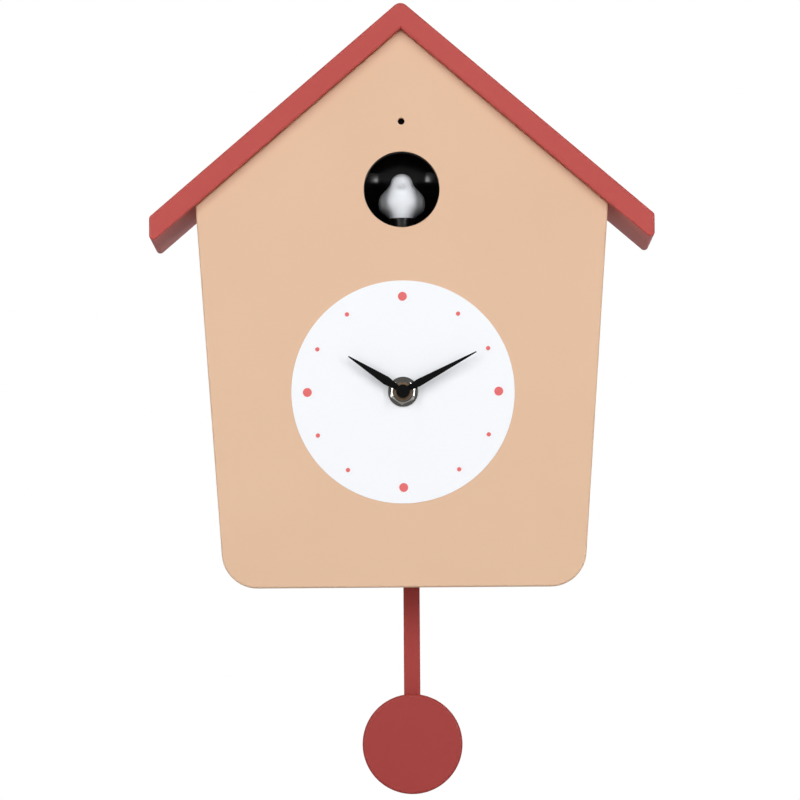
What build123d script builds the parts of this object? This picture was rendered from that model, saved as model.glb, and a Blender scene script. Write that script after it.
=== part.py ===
from build123d import *
import os
from math import cos, pi, radians, sin, sqrt, tan

# Wall cuckoo clock in the shape of a gabled house: a dial with two hands, a bird that slides out of
# a round hole on the hour, and a pendulum that hangs through the bottom board.
# The origin is the centre of the hanging hole on the rear face, +Z is up and the dial faces -Y.
# A "depth" is a distance in front of the wall, towards the viewer. Sizes are millimetres and degrees.

# Roof boards
ROOF_W = 215.0
ROOF_DEPTH = 85.0
ROOF_T = 9.0
ROOF_PITCH = 40.5
ROOF_OVERHANG = 5.0
RIDGE_R = 3.8
ROOF_TIP_R = 1.8
ROOF_EDGE_R = 0.8

# Front panel, and where its holes are
PANEL_BOTTOM_W = 153.0
PANEL_H = 238.0
PANEL_T = 9.0
SIDE_LEAN = 4.0
PANEL_CORNER_R = 15.0
PANEL_EDGE_R = 0.8
DIAL_ABOVE_BOTTOM = 83.0
BIRD_ABOVE_DIAL = 86.4
SENSOR_ABOVE_DIAL = 115.5
HANG_ABOVE_DIAL = 112.0
BIRD_HOLE_R = 16.0
BIRD_HOLE_EDGE_R = 0.5
SENSOR_HOLE_R = 1.5
SENSOR_R = 2.5
SENSOR_L = 3.8

# Boards behind the front panel, and the moulded back
CASE_INSET = 3.0
SIDE_T = 6.0
BOTTOM_T = 12.0
BACK_T = 4.0
BACK_SCREW_RISES = (-50.0, 0.0, 50.0)
BACK_SCREW_X = 40.0
BACK_SCREW_L = 14.0
SCREW_R = 1.25
SCREW_HEAD_R = 2.6
SCREW_HEAD_T = 1.5
SCREW_SINK = 0.1
HANG_HOLE_R = 4.0
HANG_SLOT_W = 4.0
HANG_SLOT_RISE = 9.0

# Dial, with its large quarter dots and small dots between them
DIAL_R = 47.5
DIAL_T = 0.4
DOT_REACH = 40.7
DOT_T = 0.1
LARGE_DOT_R = 1.9
SMALL_DOT_R = 0.92
SMALL_DOT_ANGLES = (35.5, 63.2)

# Hands and their fixings
BUSH_R = 4.0
BUSH_PROUD = 0.8
BUSH_FLANGE_R = 6.0
BUSH_FLANGE_T = 1.0
BUSH_HOLE_GAP = 0.2
WASHER_R = 6.4
WASHER_T = 0.8
NUT_FLATS = 10.0
NUT_T = 2.2
NUT_TURN = 6.0
HAND_T = 0.5
HAND_GAP = 0.4
HAND_HUB_R = 2.9
HAND_NECK = 1.1
HAND_TIP = 0.25
HOUR_HAND_L = 27.6
HOUR_SHOULDER = 1.9
HOUR_SHOULDER_AT = 8.5
HOUR_ANGLE = -57.0
MINUTE_HAND_L = 35.4
MINUTE_SHOULDER = 1.63
MINUTE_SHOULDER_AT = 7.4
MINUTE_ANGLE = 62.0
CAP_R = 2.8
CAP_L = 2.9
CAP_EDGE_R = 0.5
CAP_GRIP = 0.9

# Quartz movement and its wheels
MOVEMENT_W = 56.0
MOVEMENT_D = 16.0
MOVEMENT_WALL = 1.5
MOVEMENT_CORNER_R = 3.0
COVER_T = 1.5
POST_R = 2.6
POST_INSET = 5.0
SMALL_SCREW_R = 1.0
SMALL_SCREW_HEAD_R = 1.9
SMALL_SCREW_HEAD_T = 1.2
SMALL_SCREW_L = 5.0
RUN = 0.05
MINUTE_PIPE_R = 1.3
HOUR_PIPE_WALL = 0.75
ARBOR_R = 0.8
ARBOR_SEAT = 0.9
WHEEL_T = 1.2
PINION_T = 2.0
TRAIN_GAP = 0.4
ADDENDUM = 0.9
DEDENDUM = 1.15
TIP_SHARE = 0.1
ROOT_SHARE = 0.26
CANNON_TEETH = 12
MOTION_TEETH = 36
MOTION_MODULE = 0.5
MOTION_PINION_TEETH = 10
HOUR_TEETH = 40
CENTRE_TEETH = 48
THIRD_PINION_TEETH = 8
CENTRE_MODULE = 0.4
THIRD_TEETH = 60
THIRD_MODULE = 0.3
MOTION_BEARING = 90.0
THIRD_BEARING = 210.0
STEP_COIL_R = 4.5
STEP_COIL_L = 18.0
STEP_CORE_W = 5.0
STEP_CORE_L = 26.0
STEP_CORE_T = 3.0

# Time-setting shaft and knob
SHAFT_R = 1.5
SHAFT_SLEEVE_R = 2.6
SHAFT_SLEEVE_L = 5.0
SLEEVE_GAP = 0.4
SHAFT_STUB = 3.0
KNOB_R = 8.0
KNOB_T = 6.5
KNOB_SINK = 0.5
KNOB_SEAT = 4.0
KNOB_GRIPS = 24
KNOB_GRIP_R = 0.6
KNOB_HOLE_GAP = 1.5

# Pendulum and its drive
PENDULUM_X = 3.0
PIVOT_BELOW_DIAL = 1.0
BOB_BELOW_DIAL = 149.6
SWING = 8.0
PIVOT_R = 1.0
PIVOT_CLIP_R = 2.2
PIVOT_CLIP_T = 1.0
PIVOT_CLIP_GAP = 0.3
DRIVE_PLATE_W = 34.0
DRIVE_PLATE_T = 2.5
DRIVE_PLATE_TOP = 6.0
DRIVE_PLATE_DROP = 27.0
DRIVE_SCREW_X = 13.0
DRIVE_SCREW_DROP = 22.0
DRIVE_BOSS_R = 2.2
DRIVE_BOSS_T = 1.7
HANGER_GAP = 0.3
HANGER_HUB_R = 3.0
HANGER_T = 2.5
HANGER_W = 5.0
COIL_BELOW_PIVOT = 19.0
COIL_R = 6.5
COIL_BORE_R = 2.5
COIL_T = 3.8
MAGNET_GAP = 0.5
MAGNET_R = 3.0
PADDLE_R = 5.0
HOOK_BELOW_PIVOT = 31.0
HOOK_R = 1.4
HOOK_HEAD_R = 2.4
HOOK_HEAD_T = 1.0
BAR_W = 7.0
BAR_T = 3.0
BAR_EDGE_R = 0.5
BAR_ABOVE_HOOK = 3.5
BAR_BELOW_BOB = 12.0
BOB_R = 21.4
BOB_T = 9.0
BOB_EDGE_R = 1.2
BOB_SCREW_SPACING = 14.0
BOB_SCREW_L = 8.0
SLOT_GAP = 1.8
SLOT_DEPTH_GAP = 4.0

# Bird, its perch and its carriage
BIRD_DEPTH = 60.0
BIRD_H = 19.0
FEET_BELOW_BIRD_HOLE = 11.1
BIRD_STROKE = 18.0
BIRD_FEET_R = 5.6
# Each section: share of the bird's height, half width, half depth, how far back
BIRD_SECTIONS = (
    (0.0, 5.6, 5.6, 0.0),
    (0.16, 6.4, 8.0, 0.5),
    (0.4, 6.4, 9.0, 0.3),
    (0.6, 5.6, 7.0, -0.6),
    (0.74, 4.7, 5.2, -1.2),
    (0.86, 4.1, 4.3, -1.5),
    (0.95, 2.7, 2.9, -1.5),
    (1.0, 0.8, 0.8, -1.4),
)
HEAD_REACH = 5.6
WING_SPAN = 19.4
WING_R = 4.5
WING_L = 8.0
WING_H = 6.0
WING_RISE = 6.6
WING_BACK = 2.5
BEAK_R = 1.2
BEAK_TIP_R = 0.25
BEAK_L = 2.4
BEAK_RISE = 13.4
BEAK_SINK = 1.2
TAIL_W = 3.0
TAIL_L = 6.5
TAIL_T = 1.8
TAIL_RISE = 5.0
TAIL_BACK = 6.4
PERCH_RIM_T = 0.8
PERCH_R = 4.9
ARM_W = 3.6
ARM_T = 0.8
ARM_AHEAD = 2.7
ARM_GAP = 0.5
ARM_SLOT_GAP = 0.3
POST_L = 4.0
POST_BEHIND_BIRD = 12.5
BLOCK_W = 12.2
BLOCK_H = 7.0
BLOCK_L = 24.0
BLOCK_AHEAD = 0.5
SLIDE_GAP = 0.1
RACK_W = 6.0
RACK_BACK = 1.0
RACK_MODULE = 0.5
RACK_PINION_TEETH = 14
RACK_PINION_W = 5.0
PINION_FROM_END = 4.0
MESH_GAP = 0.05

# Niche round the bird, and the base that the carriage runs in
FLOOR_BELOW_BIRD_HOLE = 20.0
FLOOR_T = 2.0
NICHE_W = 41.0
NICHE_H = 42.0
NICHE_WALL = 1.5
NICHE_GAP = 2.0
NICHE_EAR = 9.0
NICHE_EAR_H = 12.0
NICHE_EAR_RISE = 4.0
SCREEN_R = 40.0
SCREEN_T = 1.5
SCREEN_H = 30.0
SCREEN_BEHIND_BIRD = 18.0
FLANGE_T = 2.5
FLANGE_W = 50.0
FLANGE_H = 14.0
FLANGE_SCREW_X = 19.0
FLANGE_SCREW_DROP = 8.0
BASE_SCREW_L = 8.0
RAIL_T = 2.5
RAIL_GAP = 0.1
RAIL_LIP = 2.0
RAIL_LIP_T = 1.5
RAIL_BEHIND_BLOCK = 2.0
MOTOR_W = 12.0
MOTOR_D = 10.0
MOTOR_L = 24.0
MOTOR_GAP = 0.4
MOTOR_SHAFT_R = 1.5
MOTOR_SHAFT_SEAT = 6.0
SADDLE_L = 20.0

# Loudspeaker behind its grille
SPEAKER_SIDE_GAP = 13.8
SPEAKER_ABOVE_DIAL = 50.0
SPEAKER_R = 18.0
SPEAKER_RIM_T = 1.5
SPEAKER_RIM_W = 3.0
SPEAKER_CONE_D = 8.0
SPEAKER_THROAT_R = 7.0
SPEAKER_SHELL = 1.2
SPEAKER_MAGNET_R = 9.0
SPEAKER_MAGNET_T = 6.0
GRILLE_HOLE_R = 1.3
GRILLE_SPACING = 5.0
GRILLE_RINGS = 2
GRILLE_FIRST_RING = 6

# Sound board with its volume switch and test button
BOARD_SIDE_GAP = 8.5
BOARD_ABOVE_DIAL = 50.0
BOARD_W = 44.0
BOARD_H = 36.0
BOARD_T = 1.6
BOARD_STANDOFF = 9.0
BOARD_BOSS_R = 2.5
BOARD_SCREW_INSET = 3.5
SWITCH_RISE = 8.0
SWITCH_W = 14.0
SWITCH_H = 6.0
SWITCH_T = 5.0
SLIDER_W = 3.0
SLIDER_H = 2.5
SLIDER_SHOE_W = 6.0
SLIDER_SHOE_T = 1.2
SLIDER_TRAVEL = 3.0
SLIDER_GAP = 0.3
LEVER_SINK = 0.6
BUTTON_DROP = 8.0
BUTTON_R = 2.5
BUTTON_COLLAR_R = 3.5
BUTTON_COLLAR_T = 1.0
BUTTON_TRAVEL = 1.0
BUTTON_GAP = 0.2
TACT_W = 6.0
TACT_T = 3.5
CHIP_W = 9.0
CHIP_T = 1.6

# Battery bay and its door
BAY_BELOW_DIAL = 37.0
CELL_R = 7.1
CELL_L = 49.0
CELL_NUB_R = 2.7
CELL_NUB_L = 1.5
CELL_GAP = 0.6
CELLS = 3
BAY_DEPTH = 16.0
BAY_WALL = 1.5
BAY_FLANGE = 6.0
BAY_SCREW_RISE = 16.0
BAY_SCREW_L = 4.0
CONTACT_T = 0.4
CONTACT_W = 9.0
CONTACT_SPRING_L = 3.0
CONTACT_SPRING_R = 3.6
DOOR_T = 3.0
DOOR_GAP = 0.3
DOOR_PIN_R = 0.8
DOOR_PIN_L = 2.5
FINGER_R = 7.0
FINGER_DEPTH = 2.0

# Places that follow from the sizes above
pitch = radians(ROOF_PITCH)
lean = radians(SIDE_LEAN)
dial_z = -HANG_ABOVE_DIAL
panel_bottom_z = dial_z - DIAL_ABOVE_BOTTOM
apex_z = panel_bottom_z + PANEL_H
bird_z = dial_z + BIRD_ABOVE_DIAL
sensor_z = dial_z + SENSOR_ABOVE_DIAL
panel_front = ROOF_DEPTH - ROOF_OVERHANG
panel_rear = panel_front - PANEL_T
case_corner_r = min(PANEL_CORNER_R - CASE_INSET, BOTTOM_T)
bottom_top_z = panel_bottom_z + CASE_INSET + BOTTOM_T

os.makedirs("parts", exist_ok=True)


def facing(depth, x=0.0, z=0.0):
    """Plane that faces the viewer at a depth, with its own origin at a place on the house front."""
    return Plane(origin=(x, -depth, z), x_dir=(1, 0, 0), z_dir=(0, -1, 0))


def disc(depth, x, z, radius):
    """Round face that looks to the front."""
    with BuildSketch(facing(depth, x, z)) as face:
        Circle(radius)
    return face.sketch


def plate(depth, x, z, width, height):
    """Rectangular face that looks to the front, centred on a place."""
    with BuildSketch(facing(depth, x, z)) as face:
        Rectangle(width, height)
    return face.sketch


def outline(depth, points):
    """Many-sided face that looks to the front, through a list of places."""
    with BuildSketch(facing(depth)) as face:
        with BuildLine():
            Polyline(*points, close=True)
        make_face()
    return face.sketch


def slab(low, high):
    """Block between two corners, each given as (x, depth, z)."""
    sides = [b - a for a, b in zip(low, high)]
    middle = [(a + b) / 2 for a, b in zip(low, high)]
    return Pos(middle[0], -middle[1], middle[2]) * Box(*sides, mode=Mode.PRIVATE)


def screw(depth, x, z, length, radius, head_radius, head_thickness):
    """Round-headed screw driven from the back, with its head behind the given depth."""
    shank = extrude(disc(depth, x, z, radius), amount=length, mode=Mode.PRIVATE)
    head_face = disc(depth - head_thickness, x, z, head_radius)
    return shank + extrude(head_face, amount=head_thickness, mode=Mode.PRIVATE)


def half_width(z, inset):
    """Half the house's width at a height, drawn in from the front panel's side."""
    return PANEL_BOTTOM_W / 2 + (z - panel_bottom_z) * tan(lean) - inset / cos(lean)


def eaves(inset):
    """Place where a side line meets the roof's underside."""
    x = (PANEL_BOTTOM_W / 2 - inset / cos(lean) + PANEL_H * tan(lean)) / (1 + tan(pitch) * tan(lean))
    return x, apex_z - x * tan(pitch)


def house_corners(inset):
    """Corners of the gabled outline, drawn in from the front panel's sides and bottom."""
    low = panel_bottom_z + inset
    half = half_width(low, inset)
    eaves_x, eaves_z = eaves(inset)
    return [(-half, low), (half, low), (eaves_x, eaves_z), (0, apex_z), (-eaves_x, eaves_z)]


def gear(plane, teeth, module, turn):
    """Face of a spur gear with slim straight-sided teeth, its first tooth at an angle on a plane."""
    pitch_r = teeth * module / 2
    root_r = pitch_r - DEDENDUM * module
    tip_r = pitch_r + ADDENDUM * module
    step = 360 / teeth
    flanks = ((root_r, -ROOT_SHARE), (tip_r, -TIP_SHARE), (tip_r, TIP_SHARE), (root_r, ROOT_SHARE))
    points = []
    for tooth in range(teeth):
        for radius, share in flanks:
            angle = radians(turn + (tooth + share) * step)
            points.append((radius * cos(angle), radius * sin(angle)))
    with BuildSketch(plane) as face:
        with BuildLine():
            Polyline(*points, close=True)
        make_face()
    return face.sketch


# Screws that hold the back: three up each side board and two in the bottom board
back_screws_at = [(-BACK_SCREW_X, bottom_top_z - BOTTOM_T / 2), (BACK_SCREW_X, bottom_top_z - BOTTOM_T / 2)]
for rise in BACK_SCREW_RISES:
    side_x = half_width(dial_z + rise, CASE_INSET + SIDE_T / 2)
    back_screws_at += [(-side_x, dial_z + rise), (side_x, dial_z + rise)]
back_screw_depth = SCREW_SINK + SCREW_HEAD_T

# Roof: two boards mitred at the ridge, cut plumb at the eaves
roof_rise = ROOF_T / cos(pitch)
roof_half = ROOF_W / 2
roof_drop = roof_half * tan(pitch)
roof_corners = [
    (-roof_half, apex_z + roof_rise - roof_drop),
    (0, apex_z + roof_rise),
    (roof_half, apex_z + roof_rise - roof_drop),
    (roof_half, apex_z - roof_drop),
    (0, apex_z),
    (-roof_half, apex_z - roof_drop),
]
with BuildPart() as roof_right:
    with BuildSketch(facing(0)) as gable:
        with BuildLine():
            Polyline(*roof_corners, close=True)
        make_face()
        fillet(gable.vertices().group_by(Axis.Y)[-1], RIDGE_R)
        fillet(gable.vertices().group_by(Axis.X)[0] + gable.vertices().group_by(Axis.X)[-1], ROOF_TIP_R)
    extrude(amount=ROOF_DEPTH)
    split(bisect_by=Plane.YZ, keep=Keep.TOP)
    roof_front_edges = roof_right.faces().sort_by(Axis.Y)[0].outer_wire().edges().sort_by(Axis.X)[1:]
    fillet(roof_front_edges, ROOF_EDGE_R)
roof_right.part.label = "roof_right"
export_step(roof_right.part, "parts/roof_right.step")

with BuildPart() as roof_left:
    mirror(roof_right.part, about=Plane.YZ)
roof_left.part.label = "roof_left"
export_step(roof_left.part, "parts/roof_left.step")

# Front panel: one board with rounded lower corners, drilled for the bird, the light sensor and the bush
base_floor_z = bird_z - FLOOR_BELOW_BIRD_HOLE
base_screws_at = [(side * FLANGE_SCREW_X, base_floor_z - FLANGE_SCREW_DROP) for side in (-1, 1)]
niche_ear_x = NICHE_W / 2 + NICHE_WALL + NICHE_EAR / 2
base_screws_at += [(side * niche_ear_x, bird_z + NICHE_EAR_RISE) for side in (-1, 1)]
base_screw_depth = panel_rear - FLANGE_T
with BuildPart() as front_panel:
    with BuildSketch(facing(panel_rear)) as house:
        with BuildLine():
            Polyline(*house_corners(0), close=True)
        make_face()
        fillet(house.vertices().group_by(Axis.Y)[0], PANEL_CORNER_R)
    extrude(amount=PANEL_T)
    fillet(front_panel.faces().sort_by(Axis.Y)[0].outer_wire().edges(), PANEL_EDGE_R)
    extrude(disc(panel_rear, 0, bird_z, BIRD_HOLE_R), amount=PANEL_T, mode=Mode.SUBTRACT)
    hole_edges = front_panel.edges().filter_by(GeomType.CIRCLE).filter_by(lambda e: e.radius == BIRD_HOLE_R)
    fillet(hole_edges.sort_by(Axis.Y)[0], BIRD_HOLE_EDGE_R)
    extrude(disc(panel_rear, 0, sensor_z, SENSOR_HOLE_R), amount=PANEL_T, mode=Mode.SUBTRACT)
    extrude(disc(panel_rear, 0, sensor_z, SENSOR_R), amount=SENSOR_L, mode=Mode.SUBTRACT)
    extrude(disc(panel_rear, 0, dial_z, BUSH_R + BUSH_HOLE_GAP), amount=PANEL_T, mode=Mode.SUBTRACT)
    for x, z in base_screws_at:
        extrude(disc(panel_rear, x, z, SCREW_R), amount=BASE_SCREW_L - FLANGE_T, mode=Mode.SUBTRACT)
front_panel.part.label = "front_panel"
export_step(front_panel.part, "parts/front_panel.step")

with BuildPart() as light_sensor:
    extrude(disc(panel_rear, 0, sensor_z, SENSOR_R), amount=SENSOR_L)
light_sensor.part.label = "light_sensor"
export_step(light_sensor.part, "parts/light_sensor.step")

# Side boards: they stand on the bottom board and reach up to the roof
side_corners = [
    (half_width(bottom_top_z, CASE_INSET + SIDE_T), bottom_top_z),
    (half_width(bottom_top_z, CASE_INSET), bottom_top_z),
    eaves(CASE_INSET),
    eaves(CASE_INSET + SIDE_T),
]
back_screw_bite = BACK_SCREW_L - BACK_T + back_screw_depth
with BuildPart() as side_right:
    extrude(outline(BACK_T, side_corners), amount=panel_rear - BACK_T)
    for x, z in back_screws_at:
        extrude(disc(BACK_T, x, z, SCREW_R), amount=back_screw_bite, mode=Mode.SUBTRACT)
side_right.part.label = "side_right"
export_step(side_right.part, "parts/side_right.step")

with BuildPart() as side_left:
    mirror(side_right.part, about=Plane.YZ)
side_left.part.label = "side_left"
export_step(side_left.part, "parts/side_left.step")

# Bottom board, with rounded ends and the slot that the pendulum swings in
pivot_z = dial_z - PIVOT_BELOW_DIAL
movement_rear = panel_rear - MOVEMENT_D
drive_front = movement_rear - DRIVE_PLATE_T
hanger_front = drive_front - COIL_T - MAGNET_GAP
hanger_rear = hanger_front - HANGER_T
bar_rear = hanger_rear - BAR_T
bottom_low_z = panel_bottom_z + CASE_INSET
slot_half = (pivot_z - bottom_low_z) * tan(radians(SWING)) + BAR_W / 2 / cos(radians(SWING)) + SLOT_GAP
bottom_low_half = half_width(bottom_low_z, CASE_INSET)
bottom_top_half = half_width(bottom_top_z, CASE_INSET)
bottom_corners = [
    (-bottom_low_half, bottom_low_z),
    (bottom_low_half, bottom_low_z),
    (bottom_top_half, bottom_top_z),
    (-bottom_top_half, bottom_top_z),
]
with BuildPart() as bottom_board:
    with BuildSketch(facing(BACK_T)) as bottom_end:
        with BuildLine():
            Polyline(*bottom_corners, close=True)
        make_face()
        fillet(bottom_end.vertices().group_by(Axis.Y)[0], case_corner_r)
    extrude(amount=panel_rear - BACK_T)
    add(
        slab(
            (PENDULUM_X - slot_half, bar_rear - SLOT_DEPTH_GAP, bottom_low_z),
            (PENDULUM_X + slot_half, hanger_rear + SLOT_DEPTH_GAP, bottom_top_z),
        ),
        mode=Mode.SUBTRACT,
    )
    for x, z in back_screws_at:
        extrude(disc(BACK_T, x, z, SCREW_R), amount=back_screw_bite, mode=Mode.SUBTRACT)
bottom_board.part.label = "bottom_board"
export_step(bottom_board.part, "parts/bottom_board.step")

# Moulded back: hanging hole, grille, knob hole, switch slot, button hole, battery opening and bosses
motion_r = (CANNON_TEETH + MOTION_TEETH) * MOTION_MODULE / 2
shaft_x = motion_r * cos(radians(MOTION_BEARING))
shaft_z = dial_z + motion_r * sin(radians(MOTION_BEARING))
speaker_z = dial_z + SPEAKER_ABOVE_DIAL
speaker_x = SPEAKER_SIDE_GAP + SPEAKER_R - half_width(speaker_z, CASE_INSET + SIDE_T)
board_z = dial_z + BOARD_ABOVE_DIAL
board_side = half_width(board_z - BOARD_H / 2, CASE_INSET + SIDE_T) - BOARD_SIDE_GAP
board_x = board_side - BOARD_W / 2
board_rear = BACK_T + BOARD_STANDOFF
switch_z = board_z + SWITCH_RISE
button_z = board_z - BUTTON_DROP
board_screw_x = BOARD_W / 2 - BOARD_SCREW_INSET
board_screw_z = BOARD_H / 2 - BOARD_SCREW_INSET
board_screws_at = [
    (board_x + i * board_screw_x, board_z + k * board_screw_z) for i in (-1, 1) for k in (-1, 1)
]
board_screw_bite = SMALL_SCREW_L - BOARD_T
bay_w = CELL_L + CELL_NUB_L + 2 * CONTACT_T + CONTACT_SPRING_L
bay_h = CELLS * (2 * CELL_R + CELL_GAP)
bay_z = max(dial_z - BAY_BELOW_DIAL, bottom_top_z + BAY_WALL + bay_h / 2)
bay_screw_x = bay_w / 2 + BAY_WALL + BAY_FLANGE / 2
bay_screws_at = [(i * bay_screw_x, bay_z + k * BAY_SCREW_RISE) for i in (-1, 1) for k in (-1, 1)]
bay_screw_bite = BAY_SCREW_L - BAY_WALL
door_pin_x = DOOR_GAP + DOOR_T / 2 - bay_w / 2
door_low_z = bay_z - bay_h / 2 + DOOR_GAP
door_high_z = bay_z + bay_h / 2 - DOOR_GAP
with BuildPart() as back_panel:
    with BuildSketch(facing(0)) as back_outline:
        with BuildLine():
            Polyline(*house_corners(CASE_INSET), close=True)
        make_face()
        fillet(back_outline.vertices().group_by(Axis.Y)[0], case_corner_r)
        Circle(HANG_HOLE_R, mode=Mode.SUBTRACT)
        with Locations((0, HANG_SLOT_RISE / 2)):
            Rectangle(HANG_SLOT_W, HANG_SLOT_RISE, mode=Mode.SUBTRACT)
        with Locations((0, HANG_SLOT_RISE)):
            Circle(HANG_SLOT_W / 2, mode=Mode.SUBTRACT)
        with Locations((shaft_x, shaft_z)):
            Circle(KNOB_R + KNOB_HOLE_GAP, mode=Mode.SUBTRACT)
        with Locations((0, bay_z)):
            Rectangle(bay_w, bay_h, mode=Mode.SUBTRACT)
        with Locations((board_x, switch_z)):
            slider_slot_w = SLIDER_W + 2 * (SLIDER_TRAVEL + SLIDER_GAP)
            Rectangle(slider_slot_w, SLIDER_H + 2 * SLIDER_GAP, mode=Mode.SUBTRACT)
        with Locations((board_x, button_z)):
            Circle(BUTTON_R + BUTTON_GAP, mode=Mode.SUBTRACT)
        with Locations((speaker_x, speaker_z)):
            Circle(GRILLE_HOLE_R, mode=Mode.SUBTRACT)
            for grille_ring in range(1, GRILLE_RINGS + 1):
                with PolarLocations(grille_ring * GRILLE_SPACING, GRILLE_FIRST_RING * grille_ring):
                    Circle(GRILLE_HOLE_R, mode=Mode.SUBTRACT)
    extrude(amount=BACK_T)
    for x, z in board_screws_at:
        extrude(disc(BACK_T, x, z, BOARD_BOSS_R), amount=BOARD_STANDOFF)
        extrude(disc(board_rear, x, z, SMALL_SCREW_R), amount=-board_screw_bite, mode=Mode.SUBTRACT)
    for x, z in back_screws_at:
        extrude(disc(0, x, z, SCREW_R), amount=BACK_T, mode=Mode.SUBTRACT)
        extrude(disc(0, x, z, SCREW_HEAD_R), amount=back_screw_depth, mode=Mode.SUBTRACT)
    for x, z in bay_screws_at:
        extrude(disc(BACK_T, x, z, SMALL_SCREW_R), amount=-bay_screw_bite, mode=Mode.SUBTRACT)
    extrude(disc(0, bay_w / 2, bay_z, FINGER_R), amount=FINGER_DEPTH, mode=Mode.SUBTRACT)
    with Locations((door_pin_x, -DOOR_T / 2, bay_z)):
        Cylinder(DOOR_PIN_R + RUN, bay_h + 2 * DOOR_PIN_L, mode=Mode.SUBTRACT)
back_panel.part.label = "back_panel"
export_step(back_panel.part, "parts/back_panel.step")

with BuildPart() as back_screws:
    for x, z in back_screws_at:
        add(screw(back_screw_depth, x, z, BACK_SCREW_L, SCREW_R, SCREW_HEAD_R, SCREW_HEAD_T))
back_screws.part.label = "back_screws"
export_step(back_screws.part, "parts/back_screws.step")

# Dial: a thin white disc with twelve dots
with BuildPart() as dial_disc:
    extrude(disc(panel_front, 0, dial_z, DIAL_R), amount=DIAL_T)
    extrude(disc(panel_front, 0, dial_z, BUSH_R + BUSH_HOLE_GAP), amount=DIAL_T, mode=Mode.SUBTRACT)
dial_disc.part.label = "dial_disc"
export_step(dial_disc.part, "parts/dial_disc.step")

dial_front = panel_front + DIAL_T
with BuildPart() as dial_dots:
    with BuildSketch(facing(dial_front, 0, dial_z)):
        with PolarLocations(DOT_REACH, 4):
            Circle(LARGE_DOT_R)
        for quarter in (0, 180):
            for angle in SMALL_DOT_ANGLES:
                with PolarLocations(DOT_REACH, 1, start_angle=quarter + 90 - angle):
                    Circle(SMALL_DOT_R)
                with PolarLocations(DOT_REACH, 1, start_angle=quarter + 90 + angle):
                    Circle(SMALL_DOT_R)
    extrude(amount=DOT_T)
dial_dots.part.label = "dial_dots"
export_step(dial_dots.part, "parts/dial_dots.step")

# Threaded bush, with the washer and nut that clamp the movement to the panel
wall_inner = panel_rear - MOVEMENT_WALL
bush_front = dial_front + WASHER_T + NUT_T + BUSH_PROUD
hour_pipe_bore = MINUTE_PIPE_R + RUN
hour_pipe_r = hour_pipe_bore + HOUR_PIPE_WALL
with BuildPart() as threaded_bush:
    extrude(disc(wall_inner - BUSH_FLANGE_T, 0, dial_z, BUSH_FLANGE_R), amount=BUSH_FLANGE_T)
    extrude(disc(wall_inner, 0, dial_z, BUSH_R), amount=bush_front - wall_inner)
    bush_bore = disc(wall_inner - BUSH_FLANGE_T, 0, dial_z, hour_pipe_r + RUN)
    extrude(bush_bore, amount=bush_front - wall_inner + BUSH_FLANGE_T, mode=Mode.SUBTRACT)
threaded_bush.part.label = "threaded_bush"
export_step(threaded_bush.part, "parts/threaded_bush.step")

with BuildPart() as clamp_washer:
    extrude(disc(dial_front, 0, dial_z, WASHER_R), amount=WASHER_T)
    extrude(disc(dial_front, 0, dial_z, BUSH_R), amount=WASHER_T, mode=Mode.SUBTRACT)
clamp_washer.part.label = "clamp_washer"
export_step(clamp_washer.part, "parts/clamp_washer.step")

with BuildPart() as clamp_nut:
    with BuildSketch(facing(dial_front + WASHER_T, 0, dial_z)):
        RegularPolygon(NUT_FLATS / 2, 6, major_radius=False, rotation=90 + NUT_TURN)
        Circle(BUSH_R, mode=Mode.SUBTRACT)
    extrude(amount=NUT_T)
clamp_nut.part.label = "clamp_nut"
export_step(clamp_nut.part, "parts/clamp_nut.step")


def hand_face(depth, angle, length, shoulder, shoulder_at, bore_r):
    """Dagger-shaped hand: a round eye, a narrow neck, a shoulder and a long taper to the tip."""
    across = Vector(cos(radians(angle)), -sin(radians(angle)))
    along = Vector(sin(radians(angle)), cos(radians(angle)))
    edge = ((HAND_NECK, 0), (HAND_NECK, HAND_HUB_R), (shoulder, shoulder_at), (HAND_TIP, length))
    right = [across * half + along * reach for half, reach in edge]
    left = [along * reach - across * half for half, reach in reversed(edge)]
    with BuildSketch(facing(depth, 0, dial_z)) as face:
        Circle(HAND_HUB_R)
        with BuildLine():
            Polyline(*right, *left, close=True)
        make_face()
        Circle(bore_r, mode=Mode.SUBTRACT)
    return face.sketch


# Hands, and the cap that holds the minute hand on its pipe
hour_hand_rear = bush_front + HAND_GAP
minute_hand_rear = hour_hand_rear + HAND_T + HAND_GAP
cap_rear = minute_hand_rear + HAND_T
with BuildPart() as hour_hand:
    hour_face = hand_face(
        hour_hand_rear, HOUR_ANGLE, HOUR_HAND_L, HOUR_SHOULDER, HOUR_SHOULDER_AT, hour_pipe_r,
    )
    extrude(hour_face, amount=HAND_T)
hour_hand.part.label = "hour_hand"
export_step(hour_hand.part, "parts/hour_hand.step")

with BuildPart() as minute_hand:
    minute_face = hand_face(
        minute_hand_rear, MINUTE_ANGLE, MINUTE_HAND_L, MINUTE_SHOULDER, MINUTE_SHOULDER_AT, MINUTE_PIPE_R,
    )
    extrude(minute_face, amount=HAND_T)
minute_hand.part.label = "minute_hand"
export_step(minute_hand.part, "parts/minute_hand.step")

with BuildPart() as hub_cap:
    extrude(disc(cap_rear, 0, dial_z, CAP_R), amount=CAP_L)
    fillet(hub_cap.faces().sort_by(Axis.Y)[0].edges(), CAP_EDGE_R)
    extrude(disc(cap_rear, 0, dial_z, MINUTE_PIPE_R), amount=CAP_GRIP, mode=Mode.SUBTRACT)
hub_cap.part.label = "hub_cap"
export_step(hub_cap.part, "parts/hub_cap.step")

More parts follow.
